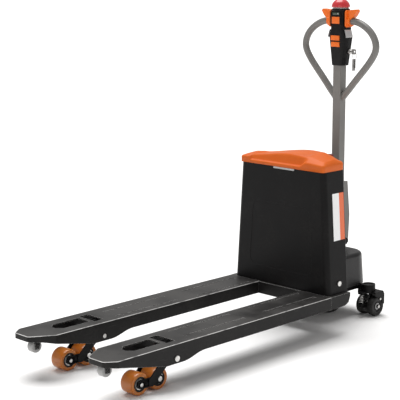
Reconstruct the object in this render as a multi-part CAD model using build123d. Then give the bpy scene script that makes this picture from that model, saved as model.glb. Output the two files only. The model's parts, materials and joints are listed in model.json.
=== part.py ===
from build123d import *
import math
import os

# Electric pallet truck, in millimetres.
# +X is the right-hand side, the fork tips point to -Y, the tiller stands at +Y and +Z is up.
# The floor is z = 0 and the origin is the middle of the footprint.

# ---- overall sizes ----
FORK_LENGTH = 1150.0        # from the fork tips to the front of the battery housing
REAR_LENGTH = 440.0         # from the front of the battery housing to the rear of the hood
FORK_SPREAD = 540.0         # over the outer faces of the two forks
FORK_WIDTH = 160.0
FORK_TOP = 167.0            # load surface in the pose that is modelled
LIFT_DOWN = 82.0            # how far the forks can still sink
LIFT_UP = 28.0              # how far they can still rise

TIP_Y = -(FORK_LENGTH + REAR_LENGTH) / 2
HEEL_Y = TIP_Y + FORK_LENGTH
REAR_Y = HEEL_Y + REAR_LENGTH
FORK_X = (FORK_SPREAD - FORK_WIDTH) / 2

# ---- clearances ----
RUN = 0.05                  # radial clearance of a shaft in its bearing
GAP = 0.4                   # between other faces that move past each other
CAP_GAP = 0.5               # round a push button

# ---- forks ----
PLATE = 5.0
SKIRT = 50.0                # depth of the fork channel at the heel
BELLY = 70.0                # depth over the load rollers
TIP_DEPTH = 20.0
BELLY_REAR = 337.0          # places along the fork, measured from the tip
BELLY_FRONT = 260.0
BELLY_BLEND = 112.0
TIP_RISE = 47.0
TIP_HALF_WIDTH = 38.0
TIP_TAPER_IN = 85.0
TIP_TAPER_OUT = 40.0
TIP_ROUND = 18.0
EDGE_ROUND = 3.0            # outer bend of the fork channel
WINDOW_Y = (135.0, 277.0)   # roller window, from the tip
WINDOW_WIDTH = 64.0
WINDOW_CHAMFER = 22.0
SLOT_Y = (292.0, 331.0)
SLOT_WIDTH = 90.0
BEAD_DEPTH = 1.2
BEADS = ((393.0, 704.0, -48.0, 9.0), (393.0, 704.0, 27.0, 10.0),
         (812.0, 1110.0, -58.0, 8.0), (812.0, 1110.0, 28.0, 18.0))

# ---- roller gear ----
ROLLER_RADIUS = 40.0
ROLLER_WIDTH = 60.0
ROLLER_HUB = 27.0
ROLLER_PITCH = 88.0         # between the two axles of a bogie
AXLE_RADIUS = 10.0
ARM_PIVOT = (308.0, 52.0)   # from the tip, and below the load surface
ARM_RUN = 82.0              # from the arm pivot forward to the bogie pivot
PIVOT_RADIUS = 8.0
ARM_BOSS = 18.0
ARM_PLATE = 6.0
BOGIE_PLATE = 5.0
LEVER = 36.0                # from the arm pivot to the push rod pin
LEVER_LEAN = 15.0
ROD_RADIUS = 8.0
PIN_RADIUS = 5.0
PIN_PLAY = 1.25              # round a push rod pin in its slot
ENTRY_RADIUS = 23.0
ENTRY_WIDTH = 28.0
ENTRY_AT = (48.0, 49.0)     # from the tip, and below the load surface

# ---- heel and battery housing ----
HOUSING_DEPTH = 125.0
HOUSING_HALF_LOW = 252.0
HOUSING_HALF_TOP = 219.0
HOUSING_TOP = 655.0
HOUSING_CORNER = 22.0
SHEET = 3.0
HOUSING_FLOOR = 232.0
PANEL_DEPTH = 1.0
PANEL_TOP = 505.0
SHAFT_AT = (70.0, 207.0)    # torsion shaft, behind the housing front, and its height
SHAFT_RADIUS = 15.0
SHAFT_JOURNAL = 8.0
CHEEK_END = 118.0
LID_HALF = 220.0
LID_REACH = 180.0           # from the housing front to the rear edge of the lid
LID_OVERHANG = 4.0
LID_RIM = 19.0
LID_HEIGHT = 78.0
BATTERY_HALF = 190.0
BATTERY_TOP = 560.0

# ---- drive unit ----
WHEEL_RADIUS = 105.0
WHEEL_WIDTH = 70.0
TYRE_INNER = 76.0
DRIVE_Y = REAR_Y - 137.0
DRIVE_AXLE = 15.0
KINGPIN_RADIUS = 20.0
BRACKET_TOP = 221.0
CHASSIS_TOP = 236.0
CHASSIS_PLATE = 8.0
CHASSIS_HALF = 118.0
CHASSIS_LOW = 108.0
HOOD_HALF = 131.0
HOOD_DRAFT = 4.0
HOOD_CORNER = 88.0
HOOD_ROUND = 17.0
HOOD_LOW = 128.0
HOOD_TOP = 262.0
HOOD_WALL = 3.0
HOOD_NECK = 52.0
BARREL_RADIUS = 22.0
RAM_RADIUS = 12.5
BARREL_TOP = 520.0
RAM_TOP = 636.0
CYLINDER_Y = HEEL_Y + 157.0
PEDESTAL = (96.0, 107.0)

# ---- stabiliser castors ----
CASTOR_X = 165.0
CASTOR_Y = REAR_Y - 64.0
CASTOR_TRAIL = 10.0
CASTOR_RADIUS = 42.0
CASTOR_TREAD = 30.0
CASTOR_GAP = 12.5           # half the gap between the twin wheels
CASTOR_HUB = 27.0
CASTOR_AXLE = 6.0
BOSS_RADIUS = 28.0
BOSS_TOP = 134.0
BOSS_LOW = 106.0
STEM_RADIUS = 12.0
YOKE_LOW = 98.0
ARM_HINGE = (36.0, 84.0)    # behind the swivel axis, and its height
SPRING_Y = -49.0
SPRING_RADIUS = 10.0
SPRING_WIRE = 1.6
SPRING_LOW = 58.0

# ---- tiller ----
PIVOT_Y = REAR_Y - 50.0
PIVOT_Z = 296.0
TILLER_PIN = 8.0
POLE = 40.0
POLE_WALL = 3.0
POLE_Y = REAR_Y - 78.0
POLE_LOW = 336.0
BRACKET_HIGH = 556.0
NECK_HALF = 11.0
LOOP_RADIUS = 14.0
LOOP_JOIN = 908.0
LOOP_PATH = ((111.0, 1210.0), (153.0, 1183.0), (177.0, 1151.0), (184.0, 1115.0),
             (167.0, 1076.0), (130.0, 1030.0), (85.0, 981.0), (45.0, 936.0))
LOOP_TOP = 1221.0
LOOP_STRAIGHT = 64.0
HEAD_LOW = 1040.0
HEAD_TOP = 1262.0
HEAD_SHOULDER = 1161.0
SHELL_SPLIT = 0.2
PADDLE_Z = (1191.0, 1266.0)
WING_REACH = 90.0
BELLY_RADIUS = 38.0
BELLY_LOW = 1278.0
BELLY_TOP = 1312.0
PLUG_RADIUS = 25.0
KEY_Z = 1097.0
KEY_FACE = 46.0
KEY_Y = POLE_Y + 12.0


def block(x, y, z):
    """A box between three pairs of limits."""
    size = [high - low for low, high in (x, y, z)]
    middle = [(high + low) / 2 for low, high in (x, y, z)]
    return Pos(*middle) * Box(*size)


def rod_x(radius, x, y, z):
    """A cylinder along X between two limits."""
    return Pos((x[0] + x[1]) / 2, y, z) * Rot(0, 90, 0) * Cylinder(radius, x[1] - x[0])


def rod_y(radius, x, y, z):
    """A cylinder along Y between two limits."""
    return Pos(x, (y[0] + y[1]) / 2, z) * Rot(90, 0, 0) * Cylinder(radius, y[1] - y[0])


def rod_z(radius, x, y, z):
    """A cylinder along Z between two limits."""
    return Pos(x, y, (z[0] + z[1]) / 2) * Cylinder(radius, z[1] - z[0])


def side_plate(points, x, corner=0.0):
    """A plate of a (Y, Z) outline between two X limits."""
    face = Plane.YZ.offset(x[0]) * Polygon(*points, align=None)
    if corner:
        face = fillet(face.vertices(), corner)
    return extrude(face, x[1] - x[0], dir=(1, 0, 0))


def plan_plate(points, z, corner=0.0):
    """A plate of an (X, Y) outline between two heights."""
    face = Plane.XY.offset(z[0]) * Polygon(*points, align=None)
    if corner:
        face = fillet(face.vertices(), corner)
    return extrude(face, z[1] - z[0], dir=(0, 0, 1))


def front_plate(points, y, corner=0.0):
    """A plate of an (X, Z) outline between two Y limits."""
    face = Plane.XZ.offset(-y[1]) * Polygon(*points, align=None)
    if corner:
        face = fillet(face.vertices(), corner)
    return extrude(face, y[1] - y[0], dir=(0, -1, 0))


def both_sides(solid):
    """A solid and its mirror image across the middle plane."""
    return [solid, mirror(solid, Plane.YZ)]


def write(name, solids):
    """One STEP file for each sub-part."""
    group = list(solids) if isinstance(solids, (list, tuple)) else [solids]
    pieces = [piece for member in group for piece in member.solids()]
    shape = pieces[0] if len(pieces) == 1 else Compound(children=pieces)
    export_step(shape, f"parts/{name}.step")


# ---- forks ----

def fork_plan(inset):
    """Plan outline of the right-hand fork, drawn in by an inset."""
    inner = FORK_X - FORK_WIDTH / 2 + inset
    outer = FORK_X + FORK_WIDTH / 2 - inset
    tip = TIP_Y + inset
    nose = TIP_HALF_WIDTH - inset
    nose_x = FORK_X + 12
    end = HEEL_Y + (1 if inset else 0)
    return [(inner, end), (inner, TIP_Y + TIP_TAPER_IN), (nose_x - nose, tip),
            (nose_x + nose, tip), (outer, TIP_Y + TIP_TAPER_OUT), (outer, end)]


def rounded_tip(points, radius, height):
    """A block of a fork's plan whose four tip corners are rounded."""
    face = Polygon(*points, align=None)
    face = fillet(face.vertices().sort_by(Axis.Y)[:4], radius)
    return extrude(face, height, dir=(0, 0, 1))


def fork_side():
    """Side outline of a fork from the heel to the tip."""
    top = FORK_TOP
    start = Line((HEEL_Y, top), (HEEL_Y, top - SKIRT))
    low = (TIP_Y + BELLY_REAR + BELLY_BLEND, top - SKIRT)
    deep = (TIP_Y + BELLY_REAR, top - BELLY)
    under = Line(start @ 1, low)
    blend = Spline(low, deep, tangents=((-1, 0), (-1, 0)))
    belly = Line(deep, (TIP_Y + BELLY_FRONT, top - BELLY))
    rise = Line(belly @ 1, (TIP_Y + TIP_RISE, top - TIP_DEPTH - 5))
    nose = Line(rise @ 1, (TIP_Y, top - TIP_DEPTH))
    front = Line(nose @ 1, (TIP_Y, top))
    lid = Line(front @ 1, start @ 0)
    return make_face([start, under, blend, belly, rise, nose, front, lid])


def fork():
    """The right-hand fork: an open channel with its windows, beads and roller tabs."""
    inner = FORK_X - FORK_WIDTH / 2
    body = extrude(Plane.YZ.offset(inner - 1) * fork_side(), FORK_WIDTH + 2)
    body &= rounded_tip(fork_plan(0), TIP_ROUND, FORK_TOP)
    rim = [edge for edge in body.edges().group_by(Axis.Z)[-1] if edge.center().Y < HEEL_Y - 1]
    body = fillet(rim, EDGE_ROUND)
    body -= rounded_tip(fork_plan(PLATE), TIP_ROUND - PLATE, FORK_TOP - PLATE)
    near, far = [TIP_Y + place for place in WINDOW_Y]
    half = WINDOW_WIDTH / 2
    cut = WINDOW_CHAMFER
    window = [(FORK_X - half + cut, near), (FORK_X + half - cut, near), (FORK_X + half, near + cut),
              (FORK_X + half, far), (FORK_X - half, far), (FORK_X - half, near + cut)]
    body -= plan_plate(window, (FORK_TOP - PLATE - 1, FORK_TOP + 1))
    slot = [TIP_Y + place for place in SLOT_Y]
    body -= block((FORK_X - SLOT_WIDTH / 2, FORK_X + SLOT_WIDTH / 2), slot,
                  (FORK_TOP - PLATE - 1, FORK_TOP + 1))
    for start, end, offset, width in BEADS:
        mid = FORK_X + offset
        body -= block((mid - width / 2, mid + width / 2), (TIP_Y + start, TIP_Y + end),
                      (FORK_TOP - BEAD_DEPTH, FORK_TOP + 1))
    pivot_y = TIP_Y + ARM_PIVOT[0]
    pivot_z = FORK_TOP - ARM_PIVOT[1]
    body -= rod_x(PIVOT_RADIUS, (inner - 1, inner + FORK_WIDTH + 1), pivot_y, pivot_z)
    entry_y = TIP_Y + ENTRY_AT[0]
    entry_z = FORK_TOP - ENTRY_AT[1]
    ear_in = ENTRY_WIDTH / 2 + GAP
    for side in (-1, 1):
        ear = sorted((FORK_X + side * ear_in, FORK_X + side * (ear_in + PLATE - 1)))
        outline = [(entry_y - 13, FORK_TOP - PLATE), (entry_y + 16, FORK_TOP - PLATE),
                   (entry_y + 9, entry_z - 9), (entry_y - 9, entry_z - 9)]
        body += side_plate(outline, ear)
    body += rod_x(PIN_RADIUS, (FORK_X - ear_in - PLATE, FORK_X + ear_in + PLATE), entry_y, entry_z)
    return body


def fork_pivot_pin():
    """The headed pin that carries a roller arm across the fork."""
    y = TIP_Y + ARM_PIVOT[0]
    z = FORK_TOP - ARM_PIVOT[1]
    outer = FORK_X + FORK_WIDTH / 2
    pin = rod_x(PIVOT_RADIUS, (outer - FORK_WIDTH, outer), y, z)
    head = rod_x(PIVOT_RADIUS + 3, (outer, outer + 4), y, z)
    return pin + fillet(head.edges().sort_by(Axis.X)[-1:], 1.5)


# ---- roller gear ----

def bogie_center():
    """Place of the bogie pivot; the rollers stand on the floor."""
    return TIP_Y + ARM_PIVOT[0] - ARM_RUN, ROLLER_RADIUS


def rod_pin():
    """Place of the push rod pin on the lever of the roller arm."""
    lean = math.radians(LEVER_LEAN)
    y = TIP_Y + ARM_PIVOT[0] - LEVER * math.sin(lean)
    z = FORK_TOP - ARM_PIVOT[1] + LEVER * math.cos(lean)
    return y, z


def link_plate(start, end, radius_start, radius_end, x):
    """A plate with two round ends."""
    angle = math.atan2(end[1] - start[1], end[0] - start[0])
    side = (-math.sin(angle), math.cos(angle))
    outline = [(start[0] + side[0] * radius_start, start[1] + side[1] * radius_start),
               (end[0] + side[0] * radius_end, end[1] + side[1] * radius_end),
               (end[0] - side[0] * radius_end, end[1] - side[1] * radius_end),
               (start[0] - side[0] * radius_start, start[1] - side[1] * radius_start)]
    plate = side_plate(outline, x)
    plate += rod_x(radius_start, x, start[0], start[1])
    plate += rod_x(radius_end, x, end[0], end[1])
    return plate


def roller_arm():
    """The swinging arm between the fork pivot and the bogie, with its lever."""
    pivot = (TIP_Y + ARM_PIVOT[0], FORK_TOP - ARM_PIVOT[1])
    bogie = bogie_center()
    inner = ROLLER_WIDTH / 2 + GAP + BOGIE_PLATE + GAP
    outer = inner + ARM_PLATE
    arm = rod_x(ARM_BOSS, (FORK_X - outer, FORK_X + outer), *pivot)
    for side in (-1, 1):
        x = sorted((FORK_X + side * inner, FORK_X + side * outer))
        arm += link_plate(pivot, bogie, ARM_BOSS, 15, x)
        stub = sorted((FORK_X + side * (inner - BOGIE_PLATE), FORK_X + side * inner))
        arm += rod_x(PIVOT_RADIUS, stub, *bogie)
    arm += link_plate(pivot, rod_pin(), 14, 10, (FORK_X - 5, FORK_X + 5))
    arm += rod_x(PIN_RADIUS, (FORK_X - 13, FORK_X + 13), *rod_pin())
    return arm - rod_x(PIVOT_RADIUS + RUN, (FORK_X - outer - 1, FORK_X + outer + 1), *pivot)


def bogie():
    """Two side plates on two axle bolts."""
    y, z = bogie_center()
    inner = ROLLER_WIDTH / 2 + GAP
    outer = inner + BOGIE_PLATE
    solids = []
    for side in (-1, 1):
        x = sorted((FORK_X + side * inner, FORK_X + side * outer))
        plate = link_plate((y - ROLLER_PITCH / 2, z), (y + ROLLER_PITCH / 2, z), 16, 16, x)
        plate -= rod_x(PIVOT_RADIUS + RUN, (x[0] - 1, x[1] + 1), y, z)
        for step in (-1, 1):
            plate -= rod_x(AXLE_RADIUS, (x[0] - 1, x[1] + 1), y + step * ROLLER_PITCH / 2, z)
        solids.append(plate)
    for step in (-1, 1):
        place = (y + step * ROLLER_PITCH / 2, z)
        solids.append(rod_x(AXLE_RADIUS, (FORK_X - outer, FORK_X + outer), *place))
        for end in (-1, 1) if step < 0 else ():
            x = sorted((FORK_X + end * outer, FORK_X + end * (outer + 3)))
            solids.append(rod_x(7, x, *place))
    return solids


def load_roller(step):
    """A roller on its axle: the tread and the hub inside it."""
    y, z = bogie_center()
    y += step * ROLLER_PITCH / 2
    x = (FORK_X - ROLLER_WIDTH / 2, FORK_X + ROLLER_WIDTH / 2)
    tread = rod_x(ROLLER_RADIUS, x, y, z)
    tread = fillet(tread.edges(), 4)
    tread -= rod_x(ROLLER_HUB, (x[0] - 1, x[1] + 1), y, z)
    hub_x = (x[0] + 1, x[1] - 1)
    hub = rod_x(ROLLER_HUB, hub_x, y, z) - rod_x(AXLE_RADIUS + RUN, x, y, z)
    return [tread, hub]


def entry_roller():
    """The small roller under a fork tip."""
    y = TIP_Y + ENTRY_AT[0]
    z = FORK_TOP - ENTRY_AT[1]
    x = (FORK_X - ENTRY_WIDTH / 2, FORK_X + ENTRY_WIDTH / 2)
    roller = fillet(rod_x(ENTRY_RADIUS, x, y, z).edges(), 4)
    return roller - rod_x(PIN_RADIUS + RUN, (x[0] - 1, x[1] + 1), y, z)


def push_rod():
    """The rod from the torsion shaft lever to the roller arm, with an eye at each end."""
    front_y, z = rod_pin()
    rear_y = HEEL_Y + SHAFT_AT[0]
    rod = rod_y(ROD_RADIUS, FORK_X, (front_y + 40, rear_y - 40), z)
    # The levers swing while the rod slides level, so their pins ride in upright slots.
    for y, step, eye, low, high in ((front_y, 1, 11.5, z - 3, z + 3), (rear_y, -1, 10, z, z + 20)):
        joint = (y + step * 42, z)
        rod += block((FORK_X - 12, FORK_X + 12), sorted((y + step * 26, y + step * 46)), (z - 8, z + 8))
        for side in (-1, 1):
            x = sorted((FORK_X + side * (5 + GAP), FORK_X + side * 12))
            rod += link_plate((y, z), joint, eye, 8, x)
            through = (x[0] - 1, x[1] + 1)
            rod -= rod_x(PIN_RADIUS + PIN_PLAY, through, y, low)
            rod -= rod_x(PIN_RADIUS + PIN_PLAY, through, y, high)
            rod -= block(through, (y - PIN_RADIUS - PIN_PLAY, y + PIN_RADIUS + PIN_PLAY), (low, high))
    return rod


def torsion_shaft():
    """The cross shaft in the heel, with a lever over each push rod and one link eye per side."""
    y = HEEL_Y + SHAFT_AT[0]
    z = SHAFT_AT[1]
    half = housing_half(SHAFT_AT[1] + SHAFT_RADIUS, SHEET) - GAP
    shaft = rod_x(SHAFT_RADIUS, (-half + 8, half - 8), y, z)
    shaft += rod_x(SHAFT_JOURNAL + 4, (-half, half), y, z)
    for side in (-1, 1):
        x = (side * FORK_X - 5, side * FORK_X + 5)
        shaft += link_plate((y, z), (y, rod_pin()[1]), 18, 10, x)
        shaft += rod_x(PIN_RADIUS, (x[0] - 8, x[1] + 8), y, rod_pin()[1])
        eye = sorted((side * 70, side * 80))
        shaft += link_plate((y, z), (y + 40, z - 12), 18, 10, eye)
        shaft -= rod_x(PIN_RADIUS, (eye[0] - 1, eye[1] + 1), y + 40, z - 12)
    return shaft - rod_x(SHAFT_JOURNAL + RUN, (-half - 1, half + 1), y, z)


# ---- heel and battery housing ----

def heel_frame():
    """Cross plate, deck and cheeks that join the forks under the housing."""
    inner = FORK_X - FORK_WIDTH / 2
    outer = FORK_SPREAD / 2
    low = FORK_TOP - SKIRT
    frame = block((-inner, inner), (HEEL_Y - 8, HEEL_Y), (low, FORK_TOP))
    frame += block((-outer, outer), (HEEL_Y, HEEL_Y + CHEEK_END), (FORK_TOP - PLATE, FORK_TOP))
    y = HEEL_Y + SHAFT_AT[0]
    end = HEEL_Y + CHEEK_END
    outline = [(HEEL_Y, low), (end - 34, low), (end - 10, low + 10), (end, low + 34), (end, FORK_TOP),
               (HEEL_Y, FORK_TOP)]
    for side in (-1, 1):
        x = sorted((side * (outer - PLATE), side * outer))
        frame += side_plate(outline, x)
        rib = sorted((side * (inner - PLATE), side * inner))
        frame += block(rib, (HEEL_Y, end), (low, FORK_TOP - PLATE))
        slot = (side * FORK_X - 16, side * FORK_X + 16)
        frame -= block(slot, (y - 44, y + 40), (FORK_TOP - PLATE - 1, FORK_TOP + 1))
    return frame


def rocker_pin():
    """The headed journal of the torsion shaft in the right-hand wall of the housing."""
    y = HEEL_Y + SHAFT_AT[0]
    outer = housing_half(SHAFT_AT[1] - SHAFT_JOURNAL - 3)
    pin = rod_x(SHAFT_JOURNAL, (outer - 40, outer), y, SHAFT_AT[1])
    head = rod_x(SHAFT_JOURNAL + 3, (outer, outer + 4), y, SHAFT_AT[1])
    return pin + fillet(head.edges().sort_by(Axis.X)[-1:], 1.5)


def housing_half(z, inset=0.0):
    """Half width of the tapered housing at a height."""
    share = (z - FORK_TOP) / (HOUSING_TOP - FORK_TOP)
    return HOUSING_HALF_LOW + share * (HOUSING_HALF_TOP - HOUSING_HALF_LOW) - inset


def housing_outline(z, inset):
    """Plan of the housing: round front corners and nearly square rear ones."""
    half = housing_half(z, inset)
    front = HEEL_Y + inset
    rear = HEEL_Y + HOUSING_DEPTH - inset
    face = Plane.XY.offset(z) * Polygon((-half, front), (half, front), (half, rear), (-half, rear),
                                        align=None)
    corners = face.vertices().sort_by(Axis.Y)
    face = fillet(corners[:2], HOUSING_CORNER - inset)
    return fillet(face.vertices().sort_by(Axis.Y)[-2:], 7 - inset)


def housing_solid(low, high, inset):
    """A tapered block of the housing between two heights."""
    return loft([housing_outline(low, inset), housing_outline(high, inset)])


def battery_housing():
    """The tapered sheet housing with a floor, a pressed front panel and a low rear opening."""
    shell = housing_solid(FORK_TOP, HOUSING_TOP, 0)
    shell -= housing_solid(FORK_TOP, HOUSING_FLOOR - SHEET, SHEET)
    shell -= housing_solid(HOUSING_FLOOR, HOUSING_TOP, SHEET)
    low = HOUSING_FLOOR + 2
    high = PANEL_TOP
    panel = [(-housing_half(low, 80), low), (housing_half(low, 80), low),
             (housing_half(high, 80), high), (-housing_half(high, 80), high)]
    shell -= front_plate(panel, (HEEL_Y - 1, HEEL_Y + PANEL_DEPTH), 34)
    rear = HEEL_Y + HOUSING_DEPTH
    shell -= block((-170, 170), (rear - 10, rear + 10), (FORK_TOP - 1, HOUSING_FLOOR - SHEET))
    shell -= rod_x(SHAFT_JOURNAL, (-FORK_SPREAD / 2, FORK_SPREAD / 2), HEEL_Y + SHAFT_AT[0], SHAFT_AT[1])
    return shell + lift_crosshead()


def side_labels():
    """Plain two-tone plates on the tapered sides of the housing."""
    y = (HEEL_Y + 48, HEEL_Y + HOUSING_DEPTH - 8)
    low, high = 380.0, 567.0
    outline = [(housing_half(low), low), (housing_half(low) + 0.8, low),
               (housing_half(high) + 0.8, high), (housing_half(high), high)]
    return both_sides(front_plate(outline, y))


def battery_pack():
    """The battery block on the housing floor."""
    y = (HEEL_Y + 12, HEEL_Y + HOUSING_DEPTH - 12)
    pack = block((-BATTERY_HALF, BATTERY_HALF), y, (HOUSING_FLOOR, BATTERY_TOP))
    grip = block((-70, 70), (y[0] + 30, y[1] - 30), (BATTERY_TOP, BATTERY_TOP + 26))
    grip -= block((-56, 56), (y[0] + 20, y[1] - 20), (BATTERY_TOP, BATTERY_TOP + 14))
    return pack + grip


def lift_crosshead():
    """The bracket on the back of the housing that the ram pushes."""
    rear = HEEL_Y + HOUSING_DEPTH
    end = CYLINDER_Y + BARREL_RADIUS
    head = block((-60, 60), (rear, end), (RAM_TOP, RAM_TOP + 10))
    for side in (-1, 1):
        x = sorted((side * 30, side * 36))
        head += side_plate([(rear, RAM_TOP), (end - 6, RAM_TOP), (rear, RAM_TOP - 60)], x)
    return head


def lift_ram():
    """The ram, pushed up out of the barrel and seated under the crosshead."""
    bottom = PEDESTAL[1] + 10 + LIFT_DOWN
    return rod_z(RAM_RADIUS, 0, CYLINDER_Y, (bottom, RAM_TOP))


def lid():
    """The faceted cover on top of the housing."""
    front = HEEL_Y - LID_OVERHANG
    rear = HEEL_Y + LID_REACH
    seat = HOUSING_TOP + GAP
    rim = block((-LID_HALF, LID_HALF), (front, rear), (seat, seat + LID_RIM))
    rim = fillet(rim.edges().filter_by(Axis.Z), 12)
    foot = Plane.XY.offset(seat + LID_RIM) * Pos(0, (front + rear) / 2) * RectangleRounded(
        2 * LID_HALF - 2, rear - front - 2, 11)
    crown = Plane.XY.offset(seat + LID_HEIGHT) * Pos(0, (front + rear) / 2 + 14) * RectangleRounded(
        2 * LID_HALF - 220, rear - front - 110, 8)
    cover = rim + loft([foot, crown])
    inner_rim = block((-LID_HALF + 6, LID_HALF - 6), (front + 9, rear - 6), (seat, seat + LID_RIM))
    low = Plane.XY.offset(seat + LID_RIM) * Pos(0, (front + rear) / 2) * RectangleRounded(
        2 * LID_HALF - 14, rear - front - 18, 8)
    high = Plane.XY.offset(seat + LID_HEIGHT - 4) * Pos(0, (front + rear) / 2 + 14) * RectangleRounded(
        2 * LID_HALF - 230, rear - front - 122, 6)
    return cover - inner_rim - loft([low, high])


def lid_hinge():
    """The strip hinge under the front edge of the lid: a leaf with its knuckle."""
    x = (-38.0, 70.0)
    front = HEEL_Y - LID_OVERHANG
    leaf = block(x, (HEEL_Y - 1.5, HEEL_Y), (HOUSING_TOP - 24, HOUSING_TOP))
    knuckle = rod_x(2.2, x, HEEL_Y - 2.2, HOUSING_TOP - 2.2)
    lip = block((x[0] + 4, x[1] - 4), (front + 0.4, HEEL_Y - 1), (HOUSING_TOP - 4, HOUSING_TOP - 1))
    return leaf + knuckle + lip


def stop_console():
    """The switch block behind the lid that carries the stop knob."""
    rear = HEEL_Y + HOUSING_DEPTH
    behind = HEEL_Y + LID_REACH + 1
    block_low = block((62, 118), (rear, behind + 34), (HOUSING_TOP - 60, HOUSING_TOP - 8))
    block_high = block((62, 118), (behind, behind + 34), (HOUSING_TOP - 8, HOUSING_TOP + 12))
    console = block_low + block_high
    console -= rod_z(7.5, 90, behind + 17, (HOUSING_TOP - 20, HOUSING_TOP + 13))
    return console


def stop_knob():
    """The mushroom knob that cuts the power."""
    y = HEEL_Y + LID_REACH + 18
    base = HOUSING_TOP + 12
    stem = rod_z(7, 90, y, (base - 20, base + 12))
    cap = rod_z(15, 90, y, (base + 12, base + 28))
    return stem + fillet(cap.edges().sort_by(Axis.Z)[-1:], 6)


# ---- chassis and drive ----

def chassis_frame():
    """The drive frame: side plates, top plate, bulkheads, pedestal and castor bosses."""
    front = HEEL_Y + 182
    rear = DRIVE_Y + 110
    square = DRIVE_Y + 48
    deck = [(-CHASSIS_HALF, front), (CHASSIS_HALF, front), (CHASSIS_HALF, square), (74, rear),
            (-74, rear), (-CHASSIS_HALF, square)]
    frame = plan_plate(deck, (CHASSIS_TOP - CHASSIS_PLATE, CHASSIS_TOP))
    for side in (-1, 1):
        x = sorted((side * (CHASSIS_HALF - 5), side * CHASSIS_HALF))
        frame += side_plate([(front, CHASSIS_LOW), (CASTOR_Y + 14, CHASSIS_LOW), (CASTOR_Y + 14, HOOD_LOW),
                             (square, HOOD_LOW + 34), (square, CHASSIS_TOP), (front, CHASSIS_TOP)], x)
        arm = sorted((side * (CHASSIS_HALF - 1), side * (CASTOR_X - 12)))
        frame += block(arm, (CASTOR_Y - 17, CASTOR_Y + 17), (CHASSIS_LOW, CHASSIS_LOW + 18))
        frame += rod_z(BOSS_RADIUS, side * CASTOR_X, CASTOR_Y, (BOSS_LOW, BOSS_TOP))
        frame -= rod_z(STEM_RADIUS + RUN, side * CASTOR_X, CASTOR_Y, (BOSS_LOW - 1, BOSS_TOP - 6))
        frame -= rod_z(BOSS_RADIUS - 7, side * CASTOR_X, CASTOR_Y, (BOSS_TOP - 3, BOSS_TOP + 1))
    frame += block((-CHASSIS_HALF, CHASSIS_HALF), (front, front + 6), (PEDESTAL[0], CHASSIS_TOP))
    pedestal = (CYLINDER_Y - BARREL_RADIUS - 4, front)
    frame += block((-112, 112), pedestal, PEDESTAL)
    frame -= rod_z(KINGPIN_RADIUS + RUN, 0, DRIVE_Y, (CHASSIS_TOP - 20, CHASSIS_TOP + 1))
    return frame


def steering_bearing():
    """The thrust ring under the chassis top plate."""
    low = BRACKET_TOP + GAP
    high = CHASSIS_TOP - CHASSIS_PLATE
    ring = rod_z(38, 0, DRIVE_Y, (low, high))
    return ring - rod_z(KINGPIN_RADIUS + 2, 0, DRIVE_Y, (low - 1, high + 1))


def lift_cylinder():
    """The barrel of the lift cylinder with its gland nut."""
    barrel = rod_z(BARREL_RADIUS, 0, CYLINDER_Y, (PEDESTAL[1], BARREL_TOP - 16))
    gland = rod_z(BARREL_RADIUS + 2, 0, CYLINDER_Y, (BARREL_TOP - 30, BARREL_TOP))
    bore = rod_z(RAM_RADIUS + RUN, 0, CYLINDER_Y, (PEDESTAL[1] + 8, BARREL_TOP + 1))
    return barrel + gland - bore


def power_pack():
    """The pump motor and the oil tank beside the cylinder."""
    motor = rod_z(23, 72, CYLINDER_Y, (PEDESTAL[1] + 40, PEDESTAL[1] + 190))
    pump = block((50, 94), (CYLINDER_Y - 20, CYLINDER_Y + 20), (PEDESTAL[1], PEDESTAL[1] + 40))
    tank = block((-100, -40), (CYLINDER_Y - 22, CYLINDER_Y + 20), (PEDESTAL[1], PEDESTAL[1] + 150))
    tank = fillet(tank.edges().filter_by(Axis.Z), 6)
    filler = rod_z(9, -70, CYLINDER_Y, (PEDESTAL[1] + 150, PEDESTAL[1] + 162))
    return [motor + pump, tank + filler]


def hood_block(inset):
    """The hood's drafted form with a round rear and a rounded top edge, drawn in by an inset."""
    front = HEEL_Y + 155
    wide = HOOD_HALF - inset
    rear = REAR_Y - inset
    face = Plane.XY.offset(HOOD_LOW) * Polygon((-wide, front), (wide, front), (wide, rear), (-wide, rear),
                                               align=None)
    face = fillet(face.vertices().sort_by(Axis.Y)[-2:], HOOD_CORNER - inset)
    body = extrude(face, HOOD_TOP - inset - HOOD_LOW, dir=(0, 0, 1), taper=HOOD_DRAFT)
    top = body.faces().sort_by(Axis.Z)[-1]
    rim = [edge for edge in top.edges() if edge.center().Y > front + 30]
    body = fillet(rim, HOOD_ROUND - inset)
    cut = HEEL_Y + 185 - (1 if inset else 0)
    return body - block((-wide - 1, wide + 1), (front - 1, cut), (HOOD_LOW - 1, HOOD_TOP + 1))


def hood():
    """The drive cover: a thin open moulding with a round hole for the neck."""
    front = HEEL_Y + 185
    shell = hood_block(0) - hood_block(HOOD_WALL)
    shell += block((-112, 112), (front, front + HOOD_WALL), (CHASSIS_TOP + GAP, HOOD_TOP - HOOD_WALL))
    shell -= rod_z(HOOD_NECK, 0, DRIVE_Y, (HOOD_TOP - 12, HOOD_TOP + 1))
    for side in (-1, 1):
        lug = sorted((side * CHASSIS_HALF, side * (CHASSIS_HALF + 6)))
        shell += block(lug, (DRIVE_Y - 40, DRIVE_Y - 20), (CHASSIS_TOP - 56, CHASSIS_TOP - 26))
    return shell


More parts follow.
